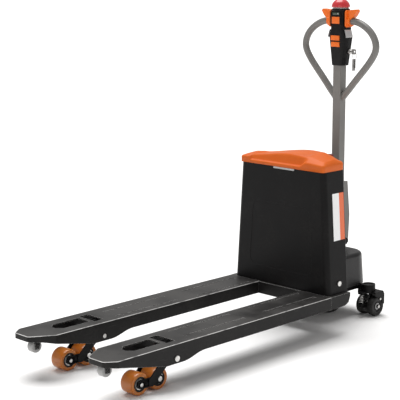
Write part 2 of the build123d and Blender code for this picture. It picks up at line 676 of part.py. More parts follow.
def drive_bracket():
    """The steered fork over the drive wheel, with its kingpin."""
    low = BRACKET_TOP - 8
    inner = WHEEL_WIDTH / 2 + 5
    bracket = block((-inner - 8, inner + 8), (DRIVE_Y - 42, DRIVE_Y + 42), (low, BRACKET_TOP))
    for side in (-1, 1):
        x = sorted((side * inner, side * (inner + 8)))
        outline = [(DRIVE_Y - 42, low), (DRIVE_Y + 42, low), (DRIVE_Y + 22, WHEEL_RADIUS - 24),
                   (DRIVE_Y - 22, WHEEL_RADIUS - 24)]
        bracket += side_plate(outline, x)
    bracket -= rod_x(DRIVE_AXLE, (-inner - 9, inner + 9), DRIVE_Y, WHEEL_RADIUS)
    return bracket + rod_z(KINGPIN_RADIUS, 0, DRIVE_Y, (BRACKET_TOP - 1, CHASSIS_TOP + 24))


def drive_axle():
    """The fixed axle of the hub motor with its two nuts."""
    half = WHEEL_WIDTH / 2 + 13
    axle = rod_x(DRIVE_AXLE, (-half, half), DRIVE_Y, WHEEL_RADIUS)
    for side in (-1, 1):
        x = sorted((side * half, side * (half + 7)))
        nut = Pos(x[0], DRIVE_Y, WHEEL_RADIUS) * Rot(0, 90, 0) * extrude(RegularPolygon(16, 6), 7)
        axle += nut
    return axle


def drive_tyre():
    """The solid tyre."""
    x = (-WHEEL_WIDTH / 2, WHEEL_WIDTH / 2)
    tyre = fillet(rod_x(WHEEL_RADIUS, x, DRIVE_Y, WHEEL_RADIUS).edges(), 5)
    return tyre - rod_x(TYRE_INNER, (x[0] - 1, x[1] + 1), DRIVE_Y, WHEEL_RADIUS)


def drive_hub():
    """The hub motor inside the tyre."""
    half = WHEEL_WIDTH / 2 - 2
    hub = rod_x(TYRE_INNER, (-half, half), DRIVE_Y, WHEEL_RADIUS)
    for side in (-1, 1):
        x = sorted((side * (half - 6), side * (half + 1)))
        dish = rod_x(TYRE_INNER - 10, x, DRIVE_Y, WHEEL_RADIUS)
        hub -= dish - rod_x(34, x, DRIVE_Y, WHEEL_RADIUS)
    return hub - rod_x(DRIVE_AXLE + RUN, (-half - 1, half + 1), DRIVE_Y, WHEEL_RADIUS)


def wheel_bolts():
    """Six cap bolts on each face of the hub."""
    half = WHEEL_WIDTH / 2 - 8
    bolts = []
    for index in range(6):
        turn = math.radians(60 * index)
        y = DRIVE_Y + 50 * math.cos(turn)
        z = WHEEL_RADIUS + 50 * math.sin(turn)
        bolts.append(rod_x(5, (half, half + 5), y, z))
        bolts.append(rod_x(5, (-half - 5, -half), y, z))
    return bolts


def steering_head():
    """The neck on the kingpin that carries the tiller pivot."""
    base = CHASSIS_TOP + 5
    hub = rod_z(38, 0, DRIVE_Y, (base, base + 18))
    hub += rod_z(30, 0, DRIVE_Y, (base + 18, base + 34))
    clear = HOOD_TOP + 6
    outline = [(DRIVE_Y - 30, base + 16), (DRIVE_Y + 34, base + 16), (DRIVE_Y + 48, clear),
               (PIVOT_Y, PIVOT_Z - 22), (PIVOT_Y + 6, PIVOT_Z), (PIVOT_Y, PIVOT_Z + 22),
               (DRIVE_Y + 24, PIVOT_Z + 10), (DRIVE_Y - 26, base + 40)]
    hub += side_plate(outline, (-NECK_HALF, NECK_HALF))
    hub += rod_x(22, (-NECK_HALF, NECK_HALF), PIVOT_Y, PIVOT_Z)
    hub -= rod_z(KINGPIN_RADIUS, 0, DRIVE_Y, (base - 1, CHASSIS_TOP + 24))
    return hub - rod_x(TILLER_PIN, (-NECK_HALF - 1, NECK_HALF + 1), PIVOT_Y, PIVOT_Z)


def tiller_pin():
    """The pivot bolt of the tiller with its head and nut."""
    half = POLE / 2 + PLATE + 0.6
    pin = rod_x(TILLER_PIN, (-half, half), PIVOT_Y, PIVOT_Z)
    for side in (-1, 1):
        start = side * half if side > 0 else -half - 6
        pin += Pos(start, PIVOT_Y, PIVOT_Z) * Rot(0, 90, 0) * extrude(RegularPolygon(13, 6), 6)
    return pin


# ---- castors ----

def castor_yoke():
    """Stem, disc, spring lug and the two ears that hold the sprung arm."""
    x, y = CASTOR_X, CASTOR_Y
    disc_top = BOSS_LOW - GAP
    yoke = rod_z(STEM_RADIUS, x, y, (YOKE_LOW, BOSS_TOP - 8))
    yoke += rod_z(BOSS_RADIUS - 1, x, y, (YOKE_LOW, disc_top))
    yoke += block((x - 11, x + 11), (y + SPRING_Y - 10, y), (YOKE_LOW, disc_top))
    hinge = (y + ARM_HINGE[0], ARM_HINGE[1])
    guard = CASTOR_GAP + CASTOR_TREAD + 1.5
    yoke += block((x - guard - 2.5, x + guard + 2.5), (y - 14, y + 40), (YOKE_LOW, disc_top))
    cheek = [(y - 14, disc_top), (y + 40, disc_top), (y + 49, 92), (y + 49, 48), (y + 38, 48),
             (y + 30, 70), (y - 14, 90)]
    for side in (-1, 1):
        yoke += side_plate(cheek, sorted((x + side * guard, x + side * (guard + 2.5))))
        ear = sorted((x + side * (5.5 + GAP), x + side * (CASTOR_GAP - 1.5)))
        outline = [(y - 4, disc_top), (hinge[0] + 6, disc_top), (hinge[0] + 10, hinge[1] + 6),
                   (hinge[0] + 8, hinge[1] - 8), (hinge[0] - 8, hinge[1] - 8), (y - 4, YOKE_LOW)]
        yoke += side_plate(outline, ear)
    return yoke + rod_x(PIN_RADIUS, (x - CASTOR_GAP + 1.5, x + CASTOR_GAP - 1.5), *hinge)


def castor_arm():
    """The sprung arm with the wheel axle and the spring seat."""
    x, y = CASTOR_X, CASTOR_Y
    hinge = (y + ARM_HINGE[0], ARM_HINGE[1])
    axle = (y + CASTOR_TRAIL, CASTOR_RADIUS)
    seat = (y + SPRING_Y, SPRING_LOW - 10)
    width = (x - 5.5, x + 5.5)
    arm = link_plate(hinge, axle, 10, 13, width)
    arm += link_plate(axle, seat, 13, 7, width)
    arm += rod_z(SPRING_RADIUS + 2, x, y + SPRING_Y, (SPRING_LOW - 6, SPRING_LOW))
    end = CASTOR_GAP + CASTOR_TREAD
    arm += rod_x(CASTOR_AXLE, (x - end - 1, x + end + 1), *axle)
    for side in (-1, 1):
        cap = sorted((x + side * (end + 1), x + side * (end + 3)))
        arm += rod_x(CASTOR_AXLE + 3, cap, *axle)
    return arm - rod_x(PIN_RADIUS + RUN, (x - 7, x + 7), *hinge)


def castor_spring():
    """The coil spring between the arm and the yoke."""
    low = SPRING_LOW + SPRING_WIRE
    height = YOKE_LOW - SPRING_WIRE - low
    path = Pos(CASTOR_X, CASTOR_Y + SPRING_Y, low) * Helix(height / 5.5, height, SPRING_RADIUS - SPRING_WIRE)
    profile = Plane(origin=path @ 0, z_dir=path % 0) * Circle(SPRING_WIRE)
    return sweep(profile, path=path)


def castor_wheels():
    """The twin wheels of a castor: a tyre and a hub on each side."""
    y = CASTOR_Y + CASTOR_TRAIL
    solids = []
    for side in (-1, 1):
        x = sorted((CASTOR_X + side * CASTOR_GAP, CASTOR_X + side * (CASTOR_GAP + CASTOR_TREAD)))
        tyre = fillet(rod_x(CASTOR_RADIUS, x, y, CASTOR_RADIUS).edges(), 4)
        tyre -= rod_x(CASTOR_HUB, (x[0] - 1, x[1] + 1), y, CASTOR_RADIUS)
        hub = rod_x(CASTOR_HUB, (x[0] + 2, x[1] - 2), y, CASTOR_RADIUS)
        hub -= rod_x(CASTOR_AXLE + RUN, x, y, CASTOR_RADIUS)
        solids += [tyre, hub]
    return solids


# ---- tiller ----

def tiller_bracket():
    """The pressed foot bracket: two cheeks on the pole and a rear web."""
    half = POLE / 2
    front = POLE_Y - half
    back = POLE_Y + half
    outline = [(front, BRACKET_HIGH), (PIVOT_Y + 8, BRACKET_HIGH - 4), (PIVOT_Y + 25, PIVOT_Z + 110),
               (PIVOT_Y + 20, PIVOT_Z + 10), (PIVOT_Y + 12, PIVOT_Z - 18), (PIVOT_Y - 12, PIVOT_Z - 18),
               (PIVOT_Y - 22, PIVOT_Z + 10), (front, PIVOT_Z + 44)]
    bracket = None
    for side in (-1, 1):
        x = sorted((side * half, side * (half + PLATE)))
        cheek = side_plate(outline, x, 4)
        bracket = cheek if bracket is None else bracket + cheek
    web = [(PIVOT_Y + 5, BRACKET_HIGH - 6), (PIVOT_Y + 8, BRACKET_HIGH - 6), (PIVOT_Y + 24, PIVOT_Z + 110),
           (PIVOT_Y + 21, PIVOT_Z + 62), (PIVOT_Y + 17, PIVOT_Z + 62), (PIVOT_Y + 20, PIVOT_Z + 108)]
    bracket += side_plate(web, (-half - 1, half + 1))
    tube = block((-half, half), (front, back), (PIVOT_Z, BRACKET_HIGH + 10))
    bracket -= tube
    return bracket - rod_x(TILLER_PIN + RUN, (-half - PLATE - 1, half + PLATE + 1), PIVOT_Y, PIVOT_Z)


def tiller_pole():
    """The square pole."""
    half = POLE / 2
    top = HEAD_LOW + 60
    pole = block((-half, half), (POLE_Y - half, POLE_Y + half), (POLE_LOW, top))
    pole = fillet(pole.edges().filter_by(Axis.Z), 3.5)
    inner = half - POLE_WALL
    return pole - block((-inner, inner), (POLE_Y - inner, POLE_Y + inner), (POLE_LOW - 1, top + 1))


def loop_path():
    """Centre line of the hand loop, from the pole round the right side to the middle of the head."""
    half = POLE / 2
    points = [(LOOP_STRAIGHT, LOOP_TOP)] + list(LOOP_PATH) + [(half - 6, LOOP_JOIN - 6)]
    straight = Line((0, POLE_Y, LOOP_TOP), (LOOP_STRAIGHT, POLE_Y, LOOP_TOP))
    bend = Spline(*[(x, POLE_Y, z) for x, z in points], tangents=((1, 0, 0), (-0.66, 0, -0.75)))
    return straight + bend


def tiller_loop():
    """The bent hand loop, one tube through the head and back to the pole."""
    path = loop_path()
    circle = Plane.YZ * Pos(POLE_Y, LOOP_TOP) * Circle(LOOP_RADIUS)
    right = sweep(circle, path=path)
    half = POLE / 2
    right -= block((-half, half), (POLE_Y - half, POLE_Y + half), (LOOP_JOIN - 60, LOOP_JOIN + 60))
    right = right.solids().sort_by(SortBy.VOLUME)[-1]
    return right + mirror(right, Plane.YZ)


def head_section(half_x, half_y, z, chamfer_size):
    """A chamfered rectangle of the head at a height."""
    face = Plane.XY.offset(z) * Pos(0, POLE_Y) * Rectangle(2 * half_x, 2 * half_y)
    return chamfer(face.vertices(), chamfer_size)


def head_solid():
    """Outer form of the head, a faceted block that is widest at its shoulder."""
    low = loft([head_section(31, 24, HEAD_LOW, 6), head_section(46, 33, HEAD_SHOULDER, 9)])
    mid = loft([head_section(46, 33, HEAD_SHOULDER, 9), head_section(38, 31, HEAD_SHOULDER + 26, 8)])
    top = loft([head_section(38, 31, HEAD_SHOULDER + 26, 8), head_section(36, 28, HEAD_TOP, 8)])
    return low + mid + top


BUTTONS = {
    "horn_button": (1225.0, 40.0, 28.0),
    "lift_button": (1153.0, 44.0, 20.0),
    "lower_button": (1127.0, 42.0, 20.0),
}


def head_front_y(z):
    """Front face of the head at a height."""
    if z < HEAD_SHOULDER:
        share = (z - HEAD_LOW) / (HEAD_SHOULDER - HEAD_LOW)
        return POLE_Y - (24 + 9 * share)
    if z < HEAD_SHOULDER + 26:
        return POLE_Y - (33 - 2 * (z - HEAD_SHOULDER) / 26)
    return POLE_Y - (31 - 3 * (z - HEAD_SHOULDER - 26) / (HEAD_TOP - HEAD_SHOULDER - 26))


def button(name):
    """A rectangular push button that stands proud of the front face."""
    z, width, height = BUTTONS[name]
    face = head_front_y(z)
    cap = block((-width / 2, width / 2), (face - 5, face + 4), (z - height / 2, z + height / 2))
    return fillet(cap.edges().filter_by(Axis.Y), 3)


def head_shell(front):
    """The front or the rear half of the head, with room for the pole, loop, shaft and buttons."""
    shell = head_solid()
    side = 1 if front else -1
    limit = sorted((POLE_Y - side * SHELL_SPLIT, POLE_Y + side * 60))
    shell -= block((-60, 60), limit, (HEAD_LOW - 1, HEAD_TOP + 1))
    half = POLE / 2 + 0.2
    shell -= block((-half, half), (POLE_Y - half, POLE_Y + half), (HEAD_LOW - 1, HEAD_LOW + 60.5))
    shell -= rod_x(LOOP_RADIUS + 0.2, (-60, 60), POLE_Y, LOOP_TOP)
    shell -= rod_z(PLUG_RADIUS + CAP_GAP, 0, POLE_Y, (HEAD_TOP - 1.6, HEAD_TOP + 1))
    if front:
        for z, width, height in BUTTONS.values():
            face = head_front_y(z)
            shell -= block((-width / 2 - CAP_GAP, width / 2 + CAP_GAP), (face - 9, face + 7.5),
                           (z - height / 2 - CAP_GAP, z + height / 2 + CAP_GAP))
    else:
        shell -= rod_x(9, (24, 60), KEY_Y, KEY_Z)
    return shell


def head_collar():
    """The light ring on top of the head."""
    ring = rod_z(BELLY_RADIUS, 0, POLE_Y, (HEAD_TOP, HEAD_TOP + 9))
    ring = fillet(ring.edges().sort_by(Axis.Z)[-1:], 3)
    return ring - rod_z(PLUG_RADIUS + CAP_GAP, 0, POLE_Y, (HEAD_TOP - 1, HEAD_TOP + 10))


def side_panels():
    """The light inserts on the shoulders of the head."""
    outline = [(46.2, HEAD_SHOULDER), (38.2, HEAD_SHOULDER + 26), (40.2, HEAD_SHOULDER + 25),
               (48.2, HEAD_SHOULDER - 1), (47.2, HEAD_SHOULDER - 6), (45.4, HEAD_SHOULDER - 6)]
    plate = front_plate(outline, (POLE_Y - 22, POLE_Y + 22)) - head_solid()
    return both_sides(plate.solids().sort_by(SortBy.VOLUME)[-1])


def belly_button():
    """The domed safety button that is pushed along the pole."""
    height = BELLY_TOP - BELLY_LOW
    ball = Sphere(BELLY_RADIUS)
    dome = Pos(0, POLE_Y, BELLY_LOW) * scale(ball, by=(1, 1, height / BELLY_RADIUS))
    dome &= block((-60, 60), (POLE_Y - 60, POLE_Y + 60), (BELLY_LOW, BELLY_TOP + 5))
    return dome + rod_z(PLUG_RADIUS, 0, POLE_Y, (HEAD_TOP + 6.5, BELLY_LOW + 1))


def throttle():
    """The butterfly throttle: a paddle on each side that turns on the loop tube, with its wing."""
    face = 38 + GAP
    low, high = PADDLE_Z
    outline = [(POLE_Y - 22, low + 6), (POLE_Y + 22, low + 6), (POLE_Y + 22, high), (POLE_Y - 22, high)]
    part = side_plate(outline, (face, face + 8), 9)
    part += rod_x(LOOP_RADIUS + 6, (face, LOOP_STRAIGHT - 4), POLE_Y, LOOP_TOP)
    wing = [(face + 4, low + 40), (LOOP_STRAIGHT - 4, low + 36), (WING_REACH - 12, high - 22),
            (WING_REACH, high - 4), (WING_REACH - 4, high + 4), (face + 4, high)]
    part += front_plate(wing, (POLE_Y - 13, POLE_Y + 13), 2)
    part = fillet(part.faces().sort_by(Axis.Y)[0].edges() + part.faces().sort_by(Axis.Y)[-1].edges(), 1.5)
    part -= rod_x(LOOP_RADIUS + RUN, (face - 1, WING_REACH), POLE_Y, LOOP_TOP)
    return both_sides(part)


def key_switch():
    """The lock barrel on the right side of the head."""
    barrel = rod_x(8.8, (24.5, KEY_FACE), KEY_Y, KEY_Z)
    barrel += rod_x(12, (40.4, KEY_FACE), KEY_Y, KEY_Z)
    return barrel - rod_x(3.05, (KEY_FACE - 12, KEY_FACE + 1), KEY_Y, KEY_Z)


def key():
    """The key in the lock: a round shank and a flat bow with a hole."""
    y = KEY_Y
    shank = rod_x(3, (KEY_FACE - 10, KEY_FACE + 8), y, KEY_Z)
    bow = block((KEY_FACE + 6, KEY_FACE + 28), (y - 1.2, y + 1.2), (KEY_Z - 11, KEY_Z + 11))
    bow = fillet(bow.edges().filter_by(Axis.Y), 6)
    return shank + bow - rod_y(4, KEY_FACE + 21, (y - 3, y + 3), KEY_Z)


def key_ring():
    """The split ring through the key, with a spare key and a tag hung on it."""
    x = KEY_FACE + 21
    y = KEY_Y
    ring = Pos(x, y, KEY_Z - 16.85) * Rot(0, 90, 0) * Torus(14, 0.8)
    spare = Plane.XZ.offset(-y - 2) * Pos(x, KEY_Z - 48) * Rectangle(9, 38)
    spare = extrude(spare, 2, both=False)
    tag = Pos(x, y - 5, KEY_Z - 53) * Box(2, 18, 48)
    return [ring, spare, tag]


def main():
    os.makedirs("parts", exist_ok=True)
    right = {
        "fork": fork(), "push_rod": push_rod(), "roller_arm": roller_arm(), "bogie": bogie(),
        "load_roller_front": load_roller(-1), "load_roller_rear": load_roller(1),
        "entry_roller": entry_roller(), "castor_yoke": castor_yoke(), "castor_arm": castor_arm(),
        "castor_spring": castor_spring(), "castor_wheels": castor_wheels(),
    }
    for name, solids in right.items():
        group = solids if isinstance(solids, list) else [solids]
        write(f"{name}_right", group)
        write(f"{name}_left", [mirror(solid, Plane.YZ) for solid in group])
    write("headed_pins", both_sides(fork_pivot_pin()) + both_sides(rocker_pin()))
    single = {
        "torsion_shaft": torsion_shaft, "heel_frame": heel_frame, "battery_housing": battery_housing,
        "side_labels": side_labels, "battery_pack": battery_pack, "lift_ram": lift_ram, "lid": lid, "lid_hinge": lid_hinge, "stop_console": stop_console,
        "stop_knob": stop_knob, "chassis_frame": chassis_frame, "steering_bearing": steering_bearing,
        "lift_cylinder": lift_cylinder, "power_pack": power_pack, "hood": hood,
        "drive_bracket": drive_bracket, "drive_axle": drive_axle, "drive_tyre": drive_tyre,
        "drive_hub": drive_hub, "wheel_bolts": wheel_bolts, "steering_head": steering_head,
        "tiller_pin": tiller_pin, "tiller_bracket": tiller_bracket, "tiller_pole": tiller_pole,
        "tiller_loop": tiller_loop, "head_collar": head_collar, "side_panels": side_panels,
        "belly_button": belly_button, "throttle": throttle, "key_switch": key_switch, "key": key,
        "key_ring": key_ring,
    }
    for name, make in single.items():
        write(name, make())
    write("head_front_shell", head_shell(True))
    write("head_rear_shell", head_shell(False))
    for name in BUTTONS:
        write(name, button(name))


main()
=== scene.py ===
import json
import math

import bmesh
import bpy
from mathutils import Matrix, Vector


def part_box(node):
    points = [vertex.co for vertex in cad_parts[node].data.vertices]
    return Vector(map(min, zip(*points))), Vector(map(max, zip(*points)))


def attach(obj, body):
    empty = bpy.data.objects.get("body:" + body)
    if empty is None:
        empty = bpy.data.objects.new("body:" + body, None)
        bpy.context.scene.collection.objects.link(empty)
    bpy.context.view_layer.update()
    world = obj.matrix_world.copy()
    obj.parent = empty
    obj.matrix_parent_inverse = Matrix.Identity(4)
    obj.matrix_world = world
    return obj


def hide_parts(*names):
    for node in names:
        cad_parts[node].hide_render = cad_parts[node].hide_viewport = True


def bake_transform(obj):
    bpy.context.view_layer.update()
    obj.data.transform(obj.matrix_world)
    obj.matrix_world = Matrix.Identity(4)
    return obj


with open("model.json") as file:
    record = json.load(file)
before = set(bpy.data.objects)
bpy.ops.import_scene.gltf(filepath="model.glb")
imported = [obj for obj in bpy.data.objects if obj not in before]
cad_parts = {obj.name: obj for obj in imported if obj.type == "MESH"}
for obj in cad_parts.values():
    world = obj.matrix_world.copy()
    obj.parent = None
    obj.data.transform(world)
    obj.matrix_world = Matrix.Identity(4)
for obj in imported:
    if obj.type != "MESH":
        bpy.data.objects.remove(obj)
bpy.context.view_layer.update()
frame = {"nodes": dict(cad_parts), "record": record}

nodes = frame["nodes"]
MM = 0.001


# Node trees

class Tree:
    """A node tree, with short calls to add nodes and feed their sockets."""

    def __init__(self, tree):
        self.tree = tree

    def add(self, kind, feeds=None, **settings):
        node = self.tree.nodes.new("ShaderNode" + kind)
        for name, value in settings.items():
            setattr(node, name, value)
        for name, value in (feeds or {}).items():
            self.feed(node.inputs[name], value)
        return node

    def feed(self, socket, value):
        if isinstance(value, bpy.types.NodeSocket):
            self.tree.links.new(value, socket)
        else:
            socket.default_value = value

    def math(self, operation, first, second=0.0, clamp=False):
        node = self.add("Math", {0: first, 1: second}, operation=operation, use_clamp=clamp)
        return node.outputs[0]

    def ramp(self, value, low, high):
        """0 below low, 1 above high, and a smooth rise between them."""
        node = self.add("MapRange", {"Value": value, "From Min": low, "From Max": high},
                        interpolation_type="SMOOTHSTEP")
        return node.outputs["Result"]

    def mix(self, share, first, second):
        node = self.add("Mix", data_type="RGBA")
        self.feed(node.inputs["Factor"], share)
        self.feed(node.inputs[6], first)
        self.feed(node.inputs[7], second)
        return node.outputs[2]

    def noise(self, vector, scale, detail=3.0, roughness=0.55):
        node = self.add("TexNoise", {"Vector": vector, "Scale": scale, "Detail": detail,
                                     "Roughness": roughness})
        return node.outputs["Fac"]

    def place(self):
        return self.add("TexCoord").outputs["Object"]


def effect(name, inputs, output):
    """An empty node group with number inputs and one number output, and its end nodes."""
    group = bpy.data.node_groups.new(name, "ShaderNodeTree")
    for label, value in inputs.items():
        socket = group.interface.new_socket(label, in_out="INPUT", socket_type="NodeSocketFloat")
        socket.default_value = value
    group.interface.new_socket(output, in_out="OUTPUT", socket_type="NodeSocketFloat")
    start = group.nodes.new("NodeGroupInput")
    end = group.nodes.new("NodeGroupOutput")
    return Tree(group), start.outputs, end.inputs[output]


def powder_skin():
    """The fine orange peel of baked powder paint."""
    tree, given, out = effect("powder_skin", {"Scale": 900.0}, "Height")
    place = tree.place()
    peel = tree.noise(place, given["Scale"], 2.0)
    swell = tree.noise(place, 60.0, 1.0)
    tree.feed(out, tree.math("ADD", peel, tree.math("MULTIPLY", swell, 0.6)))
    return tree.tree


def moulded_grain():
    """The pebbled skin of a plastic moulding."""
    tree, given, out = effect("moulded_grain", {"Scale": 1400.0}, "Height")
    place = tree.place()
    cells = tree.add("TexVoronoi", {"Vector": place, "Scale": given["Scale"]}, feature="SMOOTH_F1")
    fine = tree.noise(place, tree.math("MULTIPLY", given["Scale"], 1.7), 2.0)
    tree.feed(out, tree.math("ADD", cells.outputs["Distance"], tree.math("MULTIPLY", fine, 0.4)))
    return tree.tree


def edge_wear():
    """Where an edge has been rubbed: the corners of the form, broken up by noise."""
    tree, given, out = effect("edge_wear", {"Radius": 0.0015, "Breakup": 160.0}, "Mask")
    rounded = tree.add("Bevel", {"Radius": given["Radius"]}, samples=4)
    flat = tree.add("NewGeometry")
    turn = tree.add("VectorMath", {0: rounded.outputs[0], 1: flat.outputs["Normal"]},
                    operation="DOT_PRODUCT")
    edge = tree.ramp(tree.math("SUBTRACT", 1.0, turn.outputs["Value"]), 0.02, 0.16)
    patchy = tree.ramp(tree.noise(tree.place(), given["Breakup"], 4.0), 0.36, 0.62)
    tree.feed(out, tree.math("MULTIPLY", edge, patchy, clamp=True))
    return tree.tree


def soiling():
    """Dust and handling marks in soft uneven patches."""
    tree, given, out = effect("soiling", {"Scale": 9.0, "Amount": 0.5}, "Mask")
    place = tree.place()
    broad = tree.ramp(tree.noise(place, given["Scale"], 5.0, 0.62), 0.38, 0.72)
    fine = tree.ramp(tree.noise(place, tree.math("MULTIPLY", given["Scale"], 14.0), 3.0), 0.30, 0.75)
    both = tree.math("MULTIPLY", broad, fine)
    tree.feed(out, tree.math("MULTIPLY", both, given["Amount"], clamp=True))
    return tree.tree


def scratches():
    """Fine rubbed lines that run mostly lengthwise."""
    tree, given, out = effect("scratches", {"Density": 0.5, "Scale": 1.0}, "Mask")
    place = tree.place()
    total = None
    for turn, stretch, scale in ((0.10, 0.035, 420.0), (-0.35, 0.05, 300.0)):
        drawn = tree.add("Mapping", {"Vector": place, "Rotation": (0.0, 0.0, turn),
                                     "Scale": (1.0, stretch, 1.0)})
        size = tree.math("MULTIPLY", given["Scale"], scale)
        line = tree.ramp(tree.noise(drawn.outputs[0], size, 2.0, 0.4), 0.66, 0.74)
        total = line if total is None else tree.math("MAXIMUM", total, line)
    where = tree.ramp(tree.noise(place, 14.0, 2.0), 0.42, 0.62)
    shown = tree.math("MULTIPLY", tree.math("MULTIPLY", total, where), given["Density"], clamp=True)
    tree.feed(out, shown)
    return tree.tree


EFFECTS = {build.__name__: build() for build in (powder_skin, moulded_grain, edge_wear, soiling, scratches)}


# Finishes

def start_material(name):
    """A new material, its node tree and its main shader."""
    material = bpy.data.materials.new(name)
    material.use_nodes = True
    tree = Tree(material.node_tree)
    shader = next(node for node in material.node_tree.nodes if node.type == "BSDF_PRINCIPLED")
    return material, tree, shader


def use(tree, name, **feeds):
    """One of the shared effects, with this material's own values."""
    node = tree.add("Group")
    node.node_tree = EFFECTS[name]
    for label, value in feeds.items():
        tree.feed(node.inputs[label], value)
    return node.outputs[0]


def bumped(tree, shader, height, strength, distance):
    """Gives a shader a fine relief."""
    bump = tree.add("Bump", {"Height": height, "Strength": strength, "Distance": distance})
    tree.feed(shader.inputs["Normal"], bump.outputs[0])


def rgba(colour):
    return (*colour, 1.0)


def paint_top_sheen_and_edge_highlight(tree, place, cloud, base, top, edge_highlight_colour):
    """A painted sheen on the load surface as a lighter colour, partly rubbed wear, and a painted highlight as
    a bright broken line along its rounded edges.
    """
    upward = tree.add("SeparateXYZ", {0: tree.add("NewGeometry").outputs["Normal"]}).outputs["Z"]
    # Painted sheen: faces that look up get the lighter top colour, which stands for light from above and
    # partly for rubbed wear.
    painted_top_sheen_and_wear = tree.math("MULTIPLY", tree.ramp(upward, 0.80, 0.97), tree.ramp(cloud, -0.6, 1.0))
    base = tree.mix(painted_top_sheen_and_wear, base, rgba(top))
    # Painted highlight: a bright broken line on the faces that turn down from the top, where the rounded
    # edges would catch the light.
    below_top = tree.math("SUBTRACT", 1.0, tree.ramp(upward, 0.90, 0.985))
    painted_edge_highlight_mask = tree.math("MULTIPLY", tree.ramp(upward, 0.22, 0.55), below_top)
    painted_edge_highlight_mask = tree.math("MULTIPLY", painted_edge_highlight_mask, tree.ramp(tree.noise(place, 26.0, 4.0), 0.18, 0.58))
    return tree.mix(painted_edge_highlight_mask, base, rgba(edge_highlight_colour))


def coated(name, colour, tone, roughness, skin, skin_scale, skin_depth, worn=None, wear=0.5, dust=0.3,
           lines=0.0, metallic=0.0, coat=0.0, dust_colour=(0.20, 0.18, 0.16), soft=0.0, wear_radius=0.0015,
           sheen=0.5, top=None, edge_highlight_colour=None):
    """A coated or moulded surface: two close tones, a skin, rubbed edges, dust and fine scratches, and, where
    a top colour is given, a painted sheen on the top and a painted highlight along the edges.
    """
    material, tree, shader = start_material(name)
    place = tree.place()
    cloud = tree.ramp(tree.noise(place, 7.0, 4.0), 0.3, 0.7)
    base = tree.mix(cloud, rgba(colour), rgba(tone))
    # Painted sheen on the top faces and painted highlight along the edges, when a top colour is given.
    if top:
        base = paint_top_sheen_and_edge_highlight(tree, place, cloud, base, top, edge_highlight_colour)
    dirt = use(tree, "soiling", Scale=8.0, Amount=dust)
    base = tree.mix(dirt, base, rgba(dust_colour))
    rough = tree.math("ADD", roughness - 0.04, tree.math("MULTIPLY", cloud, 0.08))
    rough = tree.math("ADD", rough, tree.math("MULTIPLY", dirt, 0.35), clamp=True)
    if lines:
        rubbed = use(tree, "scratches", Density=lines)
        base = tree.mix(rubbed, base, rgba([min(1.0, part * 2.2 + 0.03) for part in colour]))
    if worn:
        edge = use(tree, "edge_wear", Radius=wear_radius)
        edge = tree.math("MULTIPLY", edge, wear)
        base = tree.mix(edge, base, rgba(worn))
    tree.feed(shader.inputs["Base Color"], base)
    tree.feed(shader.inputs["Roughness"], rough)
    shader.inputs["Metallic"].default_value = metallic
    shader.inputs["Specular IOR Level"].default_value = sheen
    shader.inputs["Coat Weight"].default_value = coat
    shader.inputs["Coat Roughness"].default_value = 0.22
    shader.inputs["Subsurface Weight"].default_value = soft
    shader.inputs["Subsurface Radius"].default_value = (0.01, 0.005, 0.002)
    shader.inputs["Subsurface Scale"].default_value = 0.5
    bumped(tree, shader, use(tree, skin, Scale=skin_scale), 0.5, skin_depth)
    return material


def turned_metal(name, colour, roughness, brushed):
    """Bare turned, plated or ground metal with a faint grain and dulled patches."""
    material, tree, shader = start_material(name)
    place = tree.place()
    cloud = tree.ramp(tree.noise(place, 90.0, 4.0), 0.3, 0.7)
    dark = [part * 0.72 for part in colour]
    dirt = use(tree, "soiling", Scale=40.0, Amount=0.45)
    base = tree.mix(dirt, tree.mix(cloud, rgba(colour), rgba(dark)), (0.10, 0.09, 0.08, 1.0))
    tree.feed(shader.inputs["Base Color"], base)
    rough = tree.math("ADD", roughness, tree.math("MULTIPLY", cloud, 0.12))
    rough = tree.math("ADD", rough, tree.math("MULTIPLY", dirt, 0.3), clamp=True)
    tree.feed(shader.inputs["Roughness"], rough)
    shader.inputs["Metallic"].default_value = 1.0
    bumped(tree, shader, tree.noise(place, brushed, 2.0), 0.3, 0.00006)
    return material


def label_film():
    """Printed film in two plain fields, white towards the forks and orange towards the rear."""
    material, tree, shader = start_material("label_film")
    place = tree.place()
    depth = tree.add("SeparateXYZ", {0: place}).outputs["Y"]
    low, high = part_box("side_labels")
    split = low.y + (high.y - low.y) * 0.58
    field = tree.math("GREATER_THAN", depth, split)
    base = tree.mix(field, (0.88, 0.88, 0.88, 1.0), (0.78, 0.125, 0.018, 1.0))
    dirt = use(tree, "soiling", Scale=22.0, Amount=0.12)
    base = tree.mix(dirt, base, (0.33, 0.30, 0.27, 1.0))
    tree.feed(shader.inputs["Base Color"], base)
    tree.feed(shader.inputs["Roughness"], tree.math("ADD", 0.32, tree.math("MULTIPLY", dirt, 0.4)))
    shader.inputs["Coat Weight"].default_value = 0.3
    shader.inputs["Coat Roughness"].default_value = 0.2
    bumped(tree, shader, tree.noise(place, 300.0, 1.0), 0.2, 0.00005)
    return material


def glass_display():
    """The dark green window of the charge display."""
    material, tree, shader = start_material("display_glass")
    place = tree.place()
    shade = tree.ramp(tree.noise(place, 60.0, 2.0), 0.3, 0.7)
    base = tree.mix(shade, (0.006, 0.022, 0.010, 1.0), (0.012, 0.045, 0.018, 1.0))
    tree.feed(shader.inputs["Base Color"], base)
    dirt = use(tree, "soiling", Scale=60.0, Amount=0.5)
    tree.feed(shader.inputs["Roughness"], tree.math("ADD", 0.12, tree.math("MULTIPLY", dirt, 0.3)))
    shader.inputs["Coat Weight"].default_value = 0.8
    shader.inputs["Coat Roughness"].default_value = 0.06
    return material


